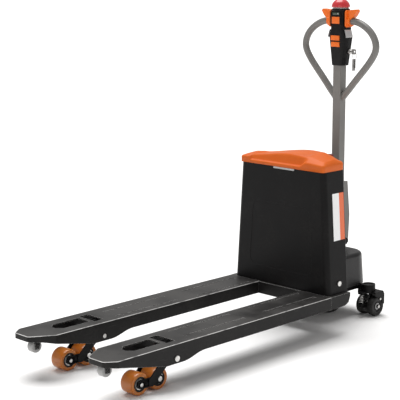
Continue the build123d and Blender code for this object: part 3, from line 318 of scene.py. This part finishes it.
FINISH = {
    "black_steel": coated(
        "black_steel", (0.0046, 0.0043, 0.0046), (0.0066, 0.0062, 0.0064), 0.42, "powder_skin", 700.0,
        0.00022,
        worn=(0.10, 0.098, 0.095), wear=0.22, dust=0.03, lines=0.10, sheen=0.12,
    ),
    "fork_steel": coated(
        "fork_steel", (0.0088, 0.0084, 0.0084), (0.0125, 0.0120, 0.0118), 0.40, "powder_skin", 700.0,
        0.00022,
        # The bright worn colour paints rubbed edges and, with them, a painted highlight line along the edges.
        worn=(0.50, 0.49, 0.48), wear=0.8, dust=0.05, lines=0.40, sheen=0.15, wear_radius=0.0026,
        # The top colour paints a sheen on the faces that look up, partly rubbed wear; the last colour paints
        # a highlight along the rounded edges.
        top=(0.047, 0.0455, 0.044), edge_highlight_colour=(0.62, 0.61, 0.60),
    ),
    "grey_steel": coated(
        "grey_steel", (0.165, 0.160, 0.152), (0.195, 0.190, 0.180), 0.40, "powder_skin", 800.0,
        0.00020,
        worn=(0.32, 0.32, 0.31), wear=0.35, dust=0.14, metallic=0.15, sheen=0.4,
    ),
    "orange_cover": coated(
        "orange_cover", (0.58, 0.108, 0.012), (0.63, 0.124, 0.015), 0.44, "moulded_grain", 1500.0,
        0.00010,
        worn=(0.84, 0.36, 0.16), wear=0.75, dust=0.05, sheen=0.16, soft=0.04,
        dust_colour=(0.50, 0.18, 0.07),
    ),
    "orange_touch": coated(
        "orange_touch", (0.82, 0.150, 0.008), (0.88, 0.172, 0.010), 0.40, "moulded_grain", 2200.0,
        0.00010,
        worn=(0.90, 0.32, 0.10), wear=0.30, dust=0.08, sheen=0.35, soft=0.06,
        dust_colour=(0.50, 0.18, 0.07),
    ),
    "black_moulding": coated(
        "black_moulding", (0.0055, 0.0053, 0.0056), (0.0075, 0.0073, 0.0077), 0.40, "moulded_grain",
        1700.0, 0.00016,
        worn=(0.09, 0.09, 0.09), wear=0.35, dust=0.04, sheen=0.15,
    ),
    "hood_moulding": coated(
        "hood_moulding", (0.0110, 0.0105, 0.0110), (0.015, 0.0145, 0.015), 0.36, "moulded_grain",
        1500.0, 0.00018,
        worn=(0.30, 0.30, 0.30), wear=0.45, dust=0.06, sheen=0.3, wear_radius=0.003,
    ),
    "amber_tread": coated(
        "amber_tread", (0.46, 0.128, 0.012), (0.52, 0.165, 0.020), 0.32, "powder_skin", 500.0, 0.00010,
        worn=(0.74, 0.36, 0.10), wear=0.85, dust=0.18, coat=0.2, sheen=0.4, soft=0.2,
        dust_colour=(0.24, 0.12, 0.05), wear_radius=0.005,
    ),
    "black_tyre": coated(
        "black_tyre", (0.0105, 0.0100, 0.0098), (0.0160, 0.0155, 0.0150), 0.60, "moulded_grain", 900.0,
        0.00025,
        worn=(0.06, 0.058, 0.055), wear=0.5, dust=0.25, sheen=0.3,
    ),
    "dark_casting": coated(
        "dark_casting", (0.022, 0.022, 0.023), (0.032, 0.031, 0.031), 0.50, "moulded_grain", 1100.0,
        0.00030,
        worn=(0.20, 0.20, 0.20), wear=0.5, dust=0.15, metallic=0.3, sheen=0.3,
    ),
    "red_dome": coated(
        "red_dome", (0.50, 0.018, 0.026), (0.55, 0.024, 0.032), 0.30, "moulded_grain", 2000.0, 0.00006,
        worn=(0.70, 0.14, 0.14), wear=0.2, dust=0.06, coat=0.3, soft=0.06,
        dust_colour=(0.40, 0.10, 0.10),
    ),
    "dull_red": coated(
        "dull_red", (0.10, 0.010, 0.010), (0.13, 0.014, 0.013), 0.42, "moulded_grain", 1600.0, 0.00010,
        worn=(0.30, 0.08, 0.07), wear=0.3, dust=0.15,
    ),
    "light_grey": coated(
        "light_grey", (0.42, 0.42, 0.42), (0.48, 0.48, 0.48), 0.45, "moulded_grain", 1800.0, 0.00012,
        worn=(0.62, 0.62, 0.62), wear=0.4, dust=0.15,
    ),
    "pale_nylon": coated(
        "pale_nylon", (0.30, 0.30, 0.30), (0.36, 0.36, 0.355), 0.40, "moulded_grain", 1800.0, 0.00012,
        worn=(0.50, 0.50, 0.50), wear=0.4, dust=0.15,
    ),
    "battery_case": coated(
        "battery_case", (0.030, 0.033, 0.037), (0.040, 0.043, 0.047), 0.5, "moulded_grain", 1200.0,
        0.0002,
        worn=(0.12, 0.12, 0.12), wear=0.3, dust=0.2,
    ),
    "bright_steel": turned_metal("bright_steel", (0.74, 0.73, 0.71), 0.24, 900.0),
    "dull_steel": turned_metal("dull_steel", (0.34, 0.33, 0.32), 0.34, 700.0),
    "label_film": label_film(),
    "display_glass": glass_display(),
}


# Making pieces

BODY_OF = {
    node: body
    for body, members in frame["record"]["behaviour"]["bodies"].items()
    for node in members
}


def finished_object(mesh, name, finish):
    """Turns a bmesh into an object with its finish, and frees the bmesh."""
    data = bpy.data.meshes.new(name)
    mesh.to_mesh(data)
    mesh.free()
    data.materials.append(FINISH[finish])
    piece = bpy.data.objects.new(name, data)
    bpy.context.scene.collection.objects.link(piece)
    return piece


def show(mesh, name, finish, body, stands_for=()):
    """Puts a bmesh in the scene as a piece that rides on a body."""
    piece = finished_object(mesh, name, finish)
    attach(piece, body)
    if stands_for:
        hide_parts(*stands_for)
    return piece


def hold(mesh, name, finish, body, stands_for=()):
    """Shows a bmesh of the script's own making, with its doubles merged and its faces turned outward."""
    bmesh.ops.remove_doubles(mesh, verts=mesh.verts, dist=1e-6)
    bmesh.ops.recalc_face_normals(mesh, faces=mesh.faces)
    return show(mesh, name, finish, body, stands_for)


def soften(piece, width, segments=2):
    """Rounds the sharp edges by a live bevel whose shading stays flat beside it."""
    piece.data.shade_smooth()
    bevel = piece.modifiers.new("edge_round", "BEVEL")
    bevel.width = width * MM
    bevel.segments = segments
    bevel.limit_method = "ANGLE"
    bevel.angle_limit = math.radians(34.0)
    bevel.profile = 0.5
    bevel.harden_normals = True
    bevel.use_clamp_overlap = True
    weigh = piece.modifiers.new("even_shading", "WEIGHTED_NORMAL")
    weigh.keep_sharp = True


def merged_copy(node):
    """A CAD node's mesh with its loose triangles joined and its flat faces made whole."""
    mesh = bmesh.new()
    mesh.from_mesh(nodes[node].data)
    bmesh.ops.remove_doubles(mesh, verts=mesh.verts, dist=2e-6)
    bmesh.ops.dissolve_limit(mesh, angle_limit=math.radians(0.4), verts=mesh.verts, edges=mesh.edges)
    return mesh


def refined(node, finish, width):
    """The CAD form of a node with rounded edges and a real finish."""
    piece = show(merged_copy(node), node + "_finished", finish, BODY_OF[node], [node])
    soften(piece, width)


REFINED = (
    # node or pair of nodes, finish, width of the rounded edge in mm
    ("fork", "fork_steel", 2.6),
    ("heel_frame", "fork_steel", 2.6),
    ("headed_pins", "bright_steel", 0.8),
    ("roller_arm", "black_steel", 1.0),
    ("push_rod", "black_steel", 0.8),
    ("entry_roller", "pale_nylon", 1.2),
    ("torsion_shaft", "black_steel", 0.8),
    ("battery_housing", "black_steel", 1.6),
    ("battery_pack", "battery_case", 1.5),
    ("side_labels", "label_film", 0.1),
    ("stop_console", "black_moulding", 1.5),
    ("stop_knob", "dull_red", 1.5),
    ("lift_ram", "bright_steel", 0.5),
    ("lift_cylinder", "black_steel", 0.8),
    ("power_pack", "dark_casting", 1.2),
    ("chassis_frame", "black_steel", 1.2),
    ("hood", "hood_moulding", 1.0),
    ("steering_bearing", "bright_steel", 0.5),
    ("steering_head", "grey_steel", 1.5),
    ("drive_bracket", "black_steel", 1.0),
    ("drive_axle", "bright_steel", 0.5),
    ("drive_hub", "dark_casting", 1.0),
    ("drive_tyre", "black_tyre", 2.5),
    ("wheel_bolts", "bright_steel", 0.4),
    ("tiller_pin", "black_steel", 0.6),
    ("tiller_bracket", "grey_steel", 1.2),
    ("tiller_pole", "grey_steel", 3.0),
    ("tiller_loop", "grey_steel", 0.5),
    ("head_collar", "black_moulding", 0.8),
    ("side_panels", "light_grey", 0.8),
    ("key_switch", "bright_steel", 0.4),
    ("key", "dull_steel", 0.3),
    ("key_ring", "dull_steel", 0.2),
    ("throttle", "orange_touch", 2.0),
    ("castor_yoke", "black_steel", 0.8),
    ("castor_arm", "black_steel", 0.8),
)


def smooth(value, low, high):
    """0 below low, 1 above high, and a smooth rise between."""
    share = min(1.0, max(0.0, (value - low) / (high - low)))
    return share * share * (3.0 - 2.0 * share)


# Lid

LID_RIM = 0.024             # height of the skirt all round
LID_CORNER = 0.014          # radius of the corners in plan
LID_EDGE = 0.0055           # radius of the rim
LID_WALL = 0.003
LID_SPARE = 0.002           # how far the dome stays below the node's own top
LID_STRIP = 0.014           # height of the skirt under the hollow strip
STRIP_END = 0.15            # how far back the hollow strip reaches, as a share of the depth
REAR_DRAWN_IN = 0.052       # how far both ends of the rear edge are drawn in


def lid_crown(across, along, high):
    """Height over the rim: a low dome, highest a little right of the middle."""
    side = 0.24 + 0.74 * smooth(across, -0.92, 0.16) - 0.56 * (max(0.0, across - 0.16) / 0.74) ** 1.6
    side *= smooth(across, -1.04, -0.90) * (1.0 - smooth(across, 0.93, 1.04))
    front = smooth(along, -0.10, 0.22) * 0.66 + smooth(along, 0.08, 0.62) * 0.34
    rear = 1.0 - 0.60 * smooth(along, 0.60, 1.04)
    return high * max(0.0, side) * front * rear


def lid_skin(across, along, high):
    """Height of the lid over its seat, with the long hollow strip along its front."""
    full = LID_RIM + lid_crown(across, along, high)
    shoulder = LID_RIM + lid_crown(across, STRIP_END, high)
    share = min(1.0, along / STRIP_END)
    hollow = LID_STRIP + (shoulder - LID_STRIP) * smooth(share, 0.40, 1.0)
    in_strip = smooth(across, -0.79, -0.74) * (1.0 - smooth(across, 0.42, 0.60))
    return full + (min(full, hollow) - full) * in_strip


def lid_rear(across, high):
    """Where the rear edge runs: straight behind the dome and drawn in at both ends."""
    return high - REAR_DRAWN_IN * smooth(abs(across), 0.38, 0.96)


def lid_point(across, along, low, high):
    """A point of the lid's skin, with round corners in plan and a rounded rim."""
    half = (high.x - low.x) / 2
    rear = lid_rear(across, high.y)
    x = across * half
    y = low.y + along * (rear - low.y)
    over_x = LID_CORNER - (half - abs(x))
    from_edge = min(y - low.y, rear - y)
    over_y = LID_CORNER - from_edge
    reach = math.hypot(max(over_x, 0.0), max(over_y, 0.0))
    if over_x > 0.0 and over_y > 0.0 and reach > LID_CORNER:
        pull = 1.0 - LID_CORNER / reach
        x -= math.copysign(over_x * pull, x)
        y += over_y * pull * (1.0 if along < 0.5 else -1.0)
        reach = LID_CORNER
    short = max(0.0, LID_EDGE - (LID_CORNER - reach))
    fall = LID_EDGE - math.sqrt(max(0.0, LID_EDGE ** 2 - short ** 2))
    top = lid_skin(across, along, high.z - low.z - LID_RIM - LID_SPARE)
    return Vector(((high.x + low.x) / 2 + x, y, low.z + top - fall))


def lid():
    """The orange lid: one domed skin with its skirt, given an even wall."""
    low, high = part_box("lid")
    mesh = bmesh.new()
    bmesh.ops.create_grid(mesh, x_segments=130, y_segments=64, size=1.0)
    for vert in mesh.verts:
        across = 1.5 * vert.co.x - 0.5 * vert.co.x ** 3
        along = 0.5 + 0.75 * vert.co.y - 0.25 * vert.co.y ** 3
        vert.co = lid_point(across, along, low, high)
    border = [edge for edge in mesh.edges if edge.is_boundary]
    skirt = bmesh.ops.extrude_edge_only(mesh, edges=border)
    for item in skirt["geom"]:
        if isinstance(item, bmesh.types.BMVert):
            item.co.z = low.z
    piece = hold(mesh, "lid_cover", "orange_cover", "lid", ["lid"])
    piece.data.shade_smooth()
    wall = piece.modifiers.new("wall", "SOLIDIFY")
    wall.thickness = LID_WALL
    wall.offset = -1.0


# Hinge strip

def box_between(mesh, low, high):
    """Adds a box to a bmesh between two corners and returns its vertices."""
    made = bmesh.ops.create_cube(mesh, size=1.0)["verts"]
    low, high = Vector(low), Vector(high)
    bmesh.ops.scale(mesh, vec=high - low, verts=made)
    bmesh.ops.translate(mesh, vec=(high + low) / 2, verts=made)
    return made


LIP_TALL = 0.007
LIP_BELOW_LID = 0.0005
LIP_SET_BACK = 0.0006       # room for the lid's front edge when the lid is open


def hinge_strip():
    """The bare lip of the hinge under the lid's front edge."""
    low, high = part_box("lid_hinge")
    top = high.z - LIP_BELOW_LID
    mesh = bmesh.new()
    box_between(mesh, (low.x, low.y + LIP_SET_BACK, top - LIP_TALL), (high.x, high.y, top))
    soften(hold(mesh, "hinge_lip", "light_grey", "fork_frame", ["lid_hinge"]), 0.4)


# Turned pieces

def lathe(mesh, profile, centre, axis="X", steps=56):
    """Spins a profile of (along the axis, radius) points about an axis through a centre."""
    centre = Vector(centre)
    along = Vector((1, 0, 0)) if axis == "X" else Vector((0, 0, 1))
    out = Vector((0, 0, 1)) if axis == "X" else Vector((1, 0, 0))
    verts = [mesh.verts.new(centre + along * step + out * radius) for step, radius in profile]
    edges = [mesh.edges.new(pair) for pair in zip(verts, verts[1:])]
    bmesh.ops.spin(mesh, geom=verts + edges, cent=centre, axis=along, angle=2 * math.pi, steps=steps,
                   use_merge=True, use_duplicate=False)


def turned(name, finish, body, profile, centre, axis="X", stands_for=(), steps=56, angle=40.0):
    """A turned piece of its own, shaded smooth with its hard corners kept."""
    mesh = bmesh.new()
    lathe(mesh, [(step * MM, radius * MM) for step, radius in profile], centre, axis, steps)
    piece = hold(mesh, name, finish, body, stands_for)
    piece.data.shade_smooth()
    mark_sharp(piece.data, angle)


def mark_sharp(data, angle):
    """Keeps the edges crisp where two faces meet at more than an angle."""
    mesh = bmesh.new()
    mesh.from_mesh(data)
    limit = math.radians(angle)
    for edge in mesh.edges:
        edge.smooth = not (len(edge.link_faces) == 2 and edge.calc_face_angle(0.0) > limit)
    mesh.to_mesh(data)
    mesh.free()


def ring(inner, outer, left, right, edge):
    """The closed profile of a ring with small chamfers on its outer corners."""
    return [(left, inner), (left, outer - edge), (left + edge, outer), (right - edge, outer),
            (right, outer - edge), (right, inner), (left, inner)]


def button_head(reach, radius, crown):
    """The profile of a low domed head that grows along its axis."""
    crown = math.copysign(crown, reach)
    return [(0.0, 0.0), (0.0, radius), (reach - 0.5 * crown, radius), (reach - 0.2 * crown, 0.86 * radius),
            (reach, 0.55 * radius), (reach, 0.0)]


def hand(side):
    return "l" if side > 0 else "r"


# Load rollers

BOGIE_FACE = 35.4           # from the middle of a bogie to the outside of its plates, mm
BOGIE_BOLTS = (
    # name, place along the fork in m, reach and radius of the head in mm
    ("front", -0.044, 3.4, 7.4),
    ("rear", 0.044, 0.35, 9.2),
)


def load_roller(node):
    """An amber tread with rounded shoulders over a black hub with a shielded bearing on each side."""
    low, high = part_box(node)
    centre = (low + high) / 2
    body = BODY_OF[node]
    tread = [(-27.5, 27.0), (-28.6, 28.0), (-29.2, 33.5), (-30.0, 35.0), (-29.4, 37.6), (-27.0, 39.4),
             (-22.0, 39.9), (0.0, 40.0), (22.0, 39.9), (27.0, 39.4), (29.4, 37.6), (30.0, 35.0), (29.2, 33.5),
             (28.6, 28.0), (27.5, 27.0), (-27.5, 27.0)]
    turned(node + "_tread", "amber_tread", body, tread, centre, stands_for=[node], steps=72)
    hub = [(-28.0, 27.0), (-29.4, 26.4), (-29.6, 23.2), (-26.6, 22.0), (-26.6, 10.3), (26.6, 10.3),
           (26.6, 22.0), (29.6, 23.2), (29.4, 26.4), (28.0, 27.0), (-28.0, 27.0)]
    turned(node + "_hub", "black_tyre", body, hub, centre)
    for side in (-1, 1):
        shield = [(side * step, radius) for step, radius in ring(10.6, 20.0, 26.2, 28.4, 0.5)]
        turned(f"{node}_bearing_{hand(side)}", "bright_steel", body, shield, centre)


def bogie(node):
    """The link plates with the heads of the axle bolts."""
    refined(node, "black_steel", 0.8)
    low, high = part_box(node)
    middle = (low + high) / 2
    for step, place, reach, radius in BOGIE_BOLTS:
        for side in (-1, 1):
            centre = (middle.x + side * BOGIE_FACE * MM, middle.y + place, middle.z)
            head = button_head(side * reach, radius, min(1.6, reach))
            turned(f"{node}_{step}_bolt_{hand(side)}", "bright_steel", BODY_OF[node], head, centre, steps=40)


# Castors

TWIN_OFFSET = 27.5          # from the middle of the pair to each wheel, mm
BOSS_OUT = 0.165            # the castor's swivel axis, from the middle plane
BOSS_BACK = 0.731
GUARD_BOLTS = (
    # name, place and height in m, radius in mm
    ("upper", 0.752, 0.073, 5.0),
    ("lower", 0.741, 0.042, 6.5),
)


def castor_wheels(node):
    """Two soft round tyres on dished dark hubs, each with a pale bearing in it."""
    low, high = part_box(node)
    centre = (low + high) / 2
    body = BODY_OF[node]
    tyre = [(-13.0, 27.0), (-14.6, 29.0), (-15.0, 36.0), (-13.6, 39.6), (-9.5, 41.6), (0.0, 42.0),
            (9.5, 41.6), (13.6, 39.6), (15.0, 36.0), (14.6, 29.0), (13.0, 27.0), (-13.0, 27.0)]
    hub = [(-12.0, 6.2), (-12.0, 14.0), (-8.0, 16.0), (-9.0, 22.0), (-13.4, 24.0), (-13.8, 27.0),
           (13.8, 27.0), (13.4, 24.0), (9.0, 22.0), (8.0, 16.0), (12.0, 14.0), (12.0, 6.2), (-12.0, 6.2)]
    bearing = [(-12.6, 7.0), (-12.9, 8.5), (-12.9, 12.5), (-12.4, 13.6), (12.4, 13.6), (12.9, 12.5),
               (12.9, 8.5), (12.6, 7.0), (-12.6, 7.0)]
    for side in (-1, 1):
        middle = Vector((centre.x + side * TWIN_OFFSET * MM, centre.y, centre.z))
        stands_for = [node] if side < 0 else ()
        turned(f"{node}_tyre_{hand(side)}", "black_tyre", body, tyre, middle, stands_for=stands_for, steps=64)
        turned(f"{node}_hub_{hand(side)}", "dark_casting", body, hub, middle)
        turned(f"{node}_bearing_{hand(side)}", "light_grey", body, bearing, middle)


def castor_trim(side_name, side):
    """The cap on the boss and the two bright bolts on the guard."""
    yoke = f"castor_yoke_{side_name}"
    low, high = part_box(yoke)
    body = BODY_OF[yoke]
    cap = [(-0.5, 0.0), (-0.5, 17.0), (0.2, 17.6), (0.7, 17.0), (0.5, 14.5), (0.1, 13.5), (0.1, 0.0)]
    top = (side * BOSS_OUT, BOSS_BACK, high.z)
    turned(f"castor_cap_{side_name}", "dark_casting", body, cap, top, "Z", steps=48)
    outer = max(abs(low.x), abs(high.x))
    for name, y, z, radius in GUARD_BOLTS:
        head = button_head(side * 2.2, radius, 1.6)
        turned(f"castor_bolt_{name}_{side_name}", "bright_steel", body, head, (side * outer, y, z), steps=36)


def castor_spring(side_name):
    """The bright coil between the yoke above and the sprung arm below, left where it stands and riding on no
    body.
    """
    node = f"castor_spring_{side_name}"
    piece = finished_object(merged_copy(node), node + "_coil", "bright_steel")
    piece.data.shade_smooth()
    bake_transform(piece)
    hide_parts(node)


# Head of the tiller

POLE_BACK = 0.717           # the pole's axis, from the middle of the truck
HEAD_HALF_DEPTH = 0.033
FRONT_DRAWN_IN = 0.20       # how much narrower the head is at its front
SHELL_EDGE = 2.4            # rounding of the two shells, mm
FRAME_HALF = 0.0022         # half the width of a bar of the button frame
WINDOW_HALF = 0.0175
DOME_RIM = 1.278            # height of the dome's open edge
DOME_RADIUS = 38.0
DOME_WALL = 3.0
BOOT_FOOT = 1.2714


def head_shell(node):
    """Half of the head's casing, drawn in towards the front so that its sides open to the rear."""
    mesh = merged_copy(node)
    for vert in mesh.verts:
        ahead = (POLE_BACK + 0.004 - vert.co.y) / HEAD_HALF_DEPTH
        vert.co.x *= 1.0 - FRONT_DRAWN_IN * min(1.0, max(0.0, ahead))
    piece = show(mesh, node + "_finished", "black_moulding", BODY_OF[node], [node])
    soften(piece, SHELL_EDGE, segments=3)


def pad(mesh, low, high, round_by):
    """Adds a small block with all its edges rounded."""
    made = box_between(mesh, low, high)
    edges = {edge for vert in made for edge in vert.link_edges}
    bmesh.ops.bevel(mesh, geom=list(edges), offset=round_by, offset_type="OFFSET", affect="EDGES",
                    segments=4, profile=0.5, material=-1, clamp_overlap=True)


def button(node):
    """A push button with soft rounded edges."""
    low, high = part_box(node)
    mesh = bmesh.new()
    pad(mesh, low, high, 0.0022)
    piece = hold(mesh, node + "_cap", "orange_touch", BODY_OF[node], [node])
    piece.data.shade_smooth()


def head_trim():
    """The frame round the upper button, and the charge window with its light above it."""
    low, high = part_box("horn_button")
    front, foot, top = low.y, low.z, high.z
    bars = bmesh.new()
    for side in (-1, 1):
        middle = side * 0.0232
        pad(bars, (middle - FRAME_HALF, front + 0.0005, foot - 0.007),
            (middle + FRAME_HALF, front + 0.008, top + 0.0215), 0.0018)
    pad(bars, (-0.0215, front + 0.0012, top + 0.0015), (0.0215, front + 0.007, top + 0.006), 0.0015)
    hold(bars, "button_frame", "black_moulding", "tiller").data.shade_smooth()
    glass = bmesh.new()
    pad(glass, (-WINDOW_HALF, front + 0.0022, top + 0.0075),
        (WINDOW_HALF, front + 0.009, top + 0.0185), 0.0012)
    hold(glass, "charge_window", "display_glass", "tiller").data.shade_smooth()
    light = bmesh.new()
    pad(light, (0.0085, front + 0.0017, top + 0.0105), (0.0145, front + 0.003, top + 0.0155), 0.0006)
    hold(light, "charge_light", "light_grey", "tiller").data.shade_smooth()


def safety_dome():
    """The red dome as a smooth shell, with the pale boot that it is pushed down over."""
    tall = (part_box("belly_button")[1].z - DOME_RIM) / MM
    turns = [math.radians(turn) for turn in range(0, 91, 6)]
    outer = [(tall * math.sin(turn), DOME_RADIUS * math.cos(turn)) for turn in turns]
    inner = [((tall - DOME_WALL) * math.sin(turn), (DOME_RADIUS - DOME_WALL) * math.cos(turn))
             for turn in reversed(turns)]
    profile = inner + [(-0.8, 35.2), (-1.0, 36.4), (-0.7, 37.5)] + outer
    rim = (0.0, POLE_BACK, DOME_RIM)
    turned("safety_dome", "red_dome", "belly_button", profile, rim, "Z", ["belly_button"], 64, 50.0)
    boot = [(0.0, 0.0), (0.0, 32.4), (1.2, 33.2), (2.4, 32.0), (3.6, 33.2), (4.8, 32.0), (6.0, 32.2),
            (6.0, 0.0)]
    foot = (0.0, POLE_BACK, BOOT_FOOT)
    turned("dome_boot", "light_grey", "tiller", boot, foot, "Z", steps=64, angle=60.0)


# Pieces that keep the form of their node

def refine_the_rest():
    """Finishes every node that has no piece made specially for it."""
    for stem, finish, width in REFINED:
        for node in (stem, stem + "_left", stem + "_right"):
            if node in nodes:
                refined(node, finish, width)


# Studio

ROOM_LIGHT = 0.46           # how much the room itself lights the object
SUN_POWER = 3.4
SUN_WIDTH = 46.0            # degrees, wide for soft shadows
SUN_FROM = (-0.30, 0.10, 1.0)
LOOK_AT = (0.0303, -0.0412, 0.5790)
LOOK_TURN = 44.22           # degrees round the truck, from straight ahead of the fork tips
LOOK_DOWN = 10.8            # degrees
LOOK_FROM = 4.6915
FLOOR_HALF = 60.0
FLOOR_DROP = 0.0005


def aimed(location, target):
    """The matrix of a camera or lamp that looks at a point."""
    back = Vector(location) - Vector(target)
    return Matrix.Translation(Vector(location)) @ back.to_track_quat("Z", "Y").to_matrix().to_4x4()


def camera():
    """A long lens that looks along the forks from low on their right."""
    data = bpy.data.cameras.new("camera")
    data.sensor_width = 36.0
    data.lens = 112.16
    data.shift_x = -0.04325
    view = bpy.data.objects.new("camera", data)
    bpy.context.scene.collection.objects.link(view)
    target = Vector(LOOK_AT)
    across, up = math.radians(LOOK_TURN), math.radians(LOOK_DOWN)
    away = Vector((math.sin(across) * math.cos(up), -math.cos(across) * math.cos(up), math.sin(up)))
    view.matrix_world = aimed(target + away * LOOK_FROM, target)
    bpy.context.scene.camera = view


def softbox(name, location, target, size, power):
    """A rectangular lamp that faces a point."""
    data = bpy.data.lights.new(name, "AREA")
    data.shape = "RECTANGLE"
    data.size, data.size_y = size
    data.energy = power
    lamp = bpy.data.objects.new(name, data)
    bpy.context.scene.collection.objects.link(lamp)
    lamp.matrix_world = aimed(location, target)


def overhead_light():
    """One very soft light from above and behind, even over the whole floor."""
    data = bpy.data.lights.new("overhead", "SUN")
    data.energy = SUN_POWER
    data.angle = math.radians(SUN_WIDTH)
    lamp = bpy.data.objects.new("overhead", data)
    bpy.context.scene.collection.objects.link(lamp)
    lamp.matrix_world = aimed(Vector(SUN_FROM) * 5.0, (0.0, 0.0, 0.0))


def white_room():
    """A room that looks white and lights the object only gently from the sides."""
    world = bpy.data.worlds.new("studio")
    bpy.context.scene.world = world
    world.use_nodes = True
    tree = Tree(world.node_tree)
    seen = tree.add("Background", {"Color": (1.0, 1.0, 1.0, 1.0), "Strength": 1.0})
    felt = tree.add("Background", {"Color": (1.0, 0.99, 0.98, 1.0), "Strength": ROOM_LIGHT})
    path = tree.add("LightPath")
    both = tree.add("MixShader", {0: path.outputs["Is Camera Ray"], 1: felt.outputs[0], 2: seen.outputs[0]})
    out = next(node for node in world.node_tree.nodes if node.type == "OUTPUT_WORLD")
    tree.feed(out.inputs["Surface"], both.outputs[0])


def floor():
    """A wide pale floor just under the wheels."""
    mesh = bmesh.new()
    bmesh.ops.create_grid(mesh, x_segments=1, y_segments=1, size=FLOOR_HALF)
    data = bpy.data.meshes.new("floor")
    mesh.to_mesh(data)
    mesh.free()
    material, _, shader = start_material("pale_floor")
    shader.inputs["Base Color"].default_value = (0.88, 0.875, 0.87, 1.0)
    shader.inputs["Roughness"].default_value = 1.0
    shader.inputs["Specular IOR Level"].default_value = 0.0
    data.materials.append(material)
    ground = bpy.data.objects.new("floor", data)
    ground.location.z = -FLOOR_DROP
    bpy.context.scene.collection.objects.link(ground)


def studio():
    """The pale room, its floor and its two lights."""
    bpy.context.scene.view_settings.view_transform = "Standard"
    white_room()
    floor()
    overhead_light()
    softbox("front_fill", (1.6, -3.4, 2.4), (0.0, 0.0, 0.5), (1.6, 1.6), 16.0)


lid()
hinge_strip()
for end in ("front_left", "front_right", "rear_left", "rear_right"):
    load_roller("load_roller_" + end)
for side_name, side in (("left", -1), ("right", 1)):
    bogie("bogie_" + side_name)
    castor_wheels("castor_wheels_" + side_name)
    castor_trim(side_name, side)
    castor_spring(side_name)
for shell in ("head_front_shell", "head_rear_shell"):
    head_shell(shell)
for name in ("horn_button", "lift_button", "lower_button"):
    button(name)
head_trim()
safety_dome()
refine_the_rest()
camera()
studio()
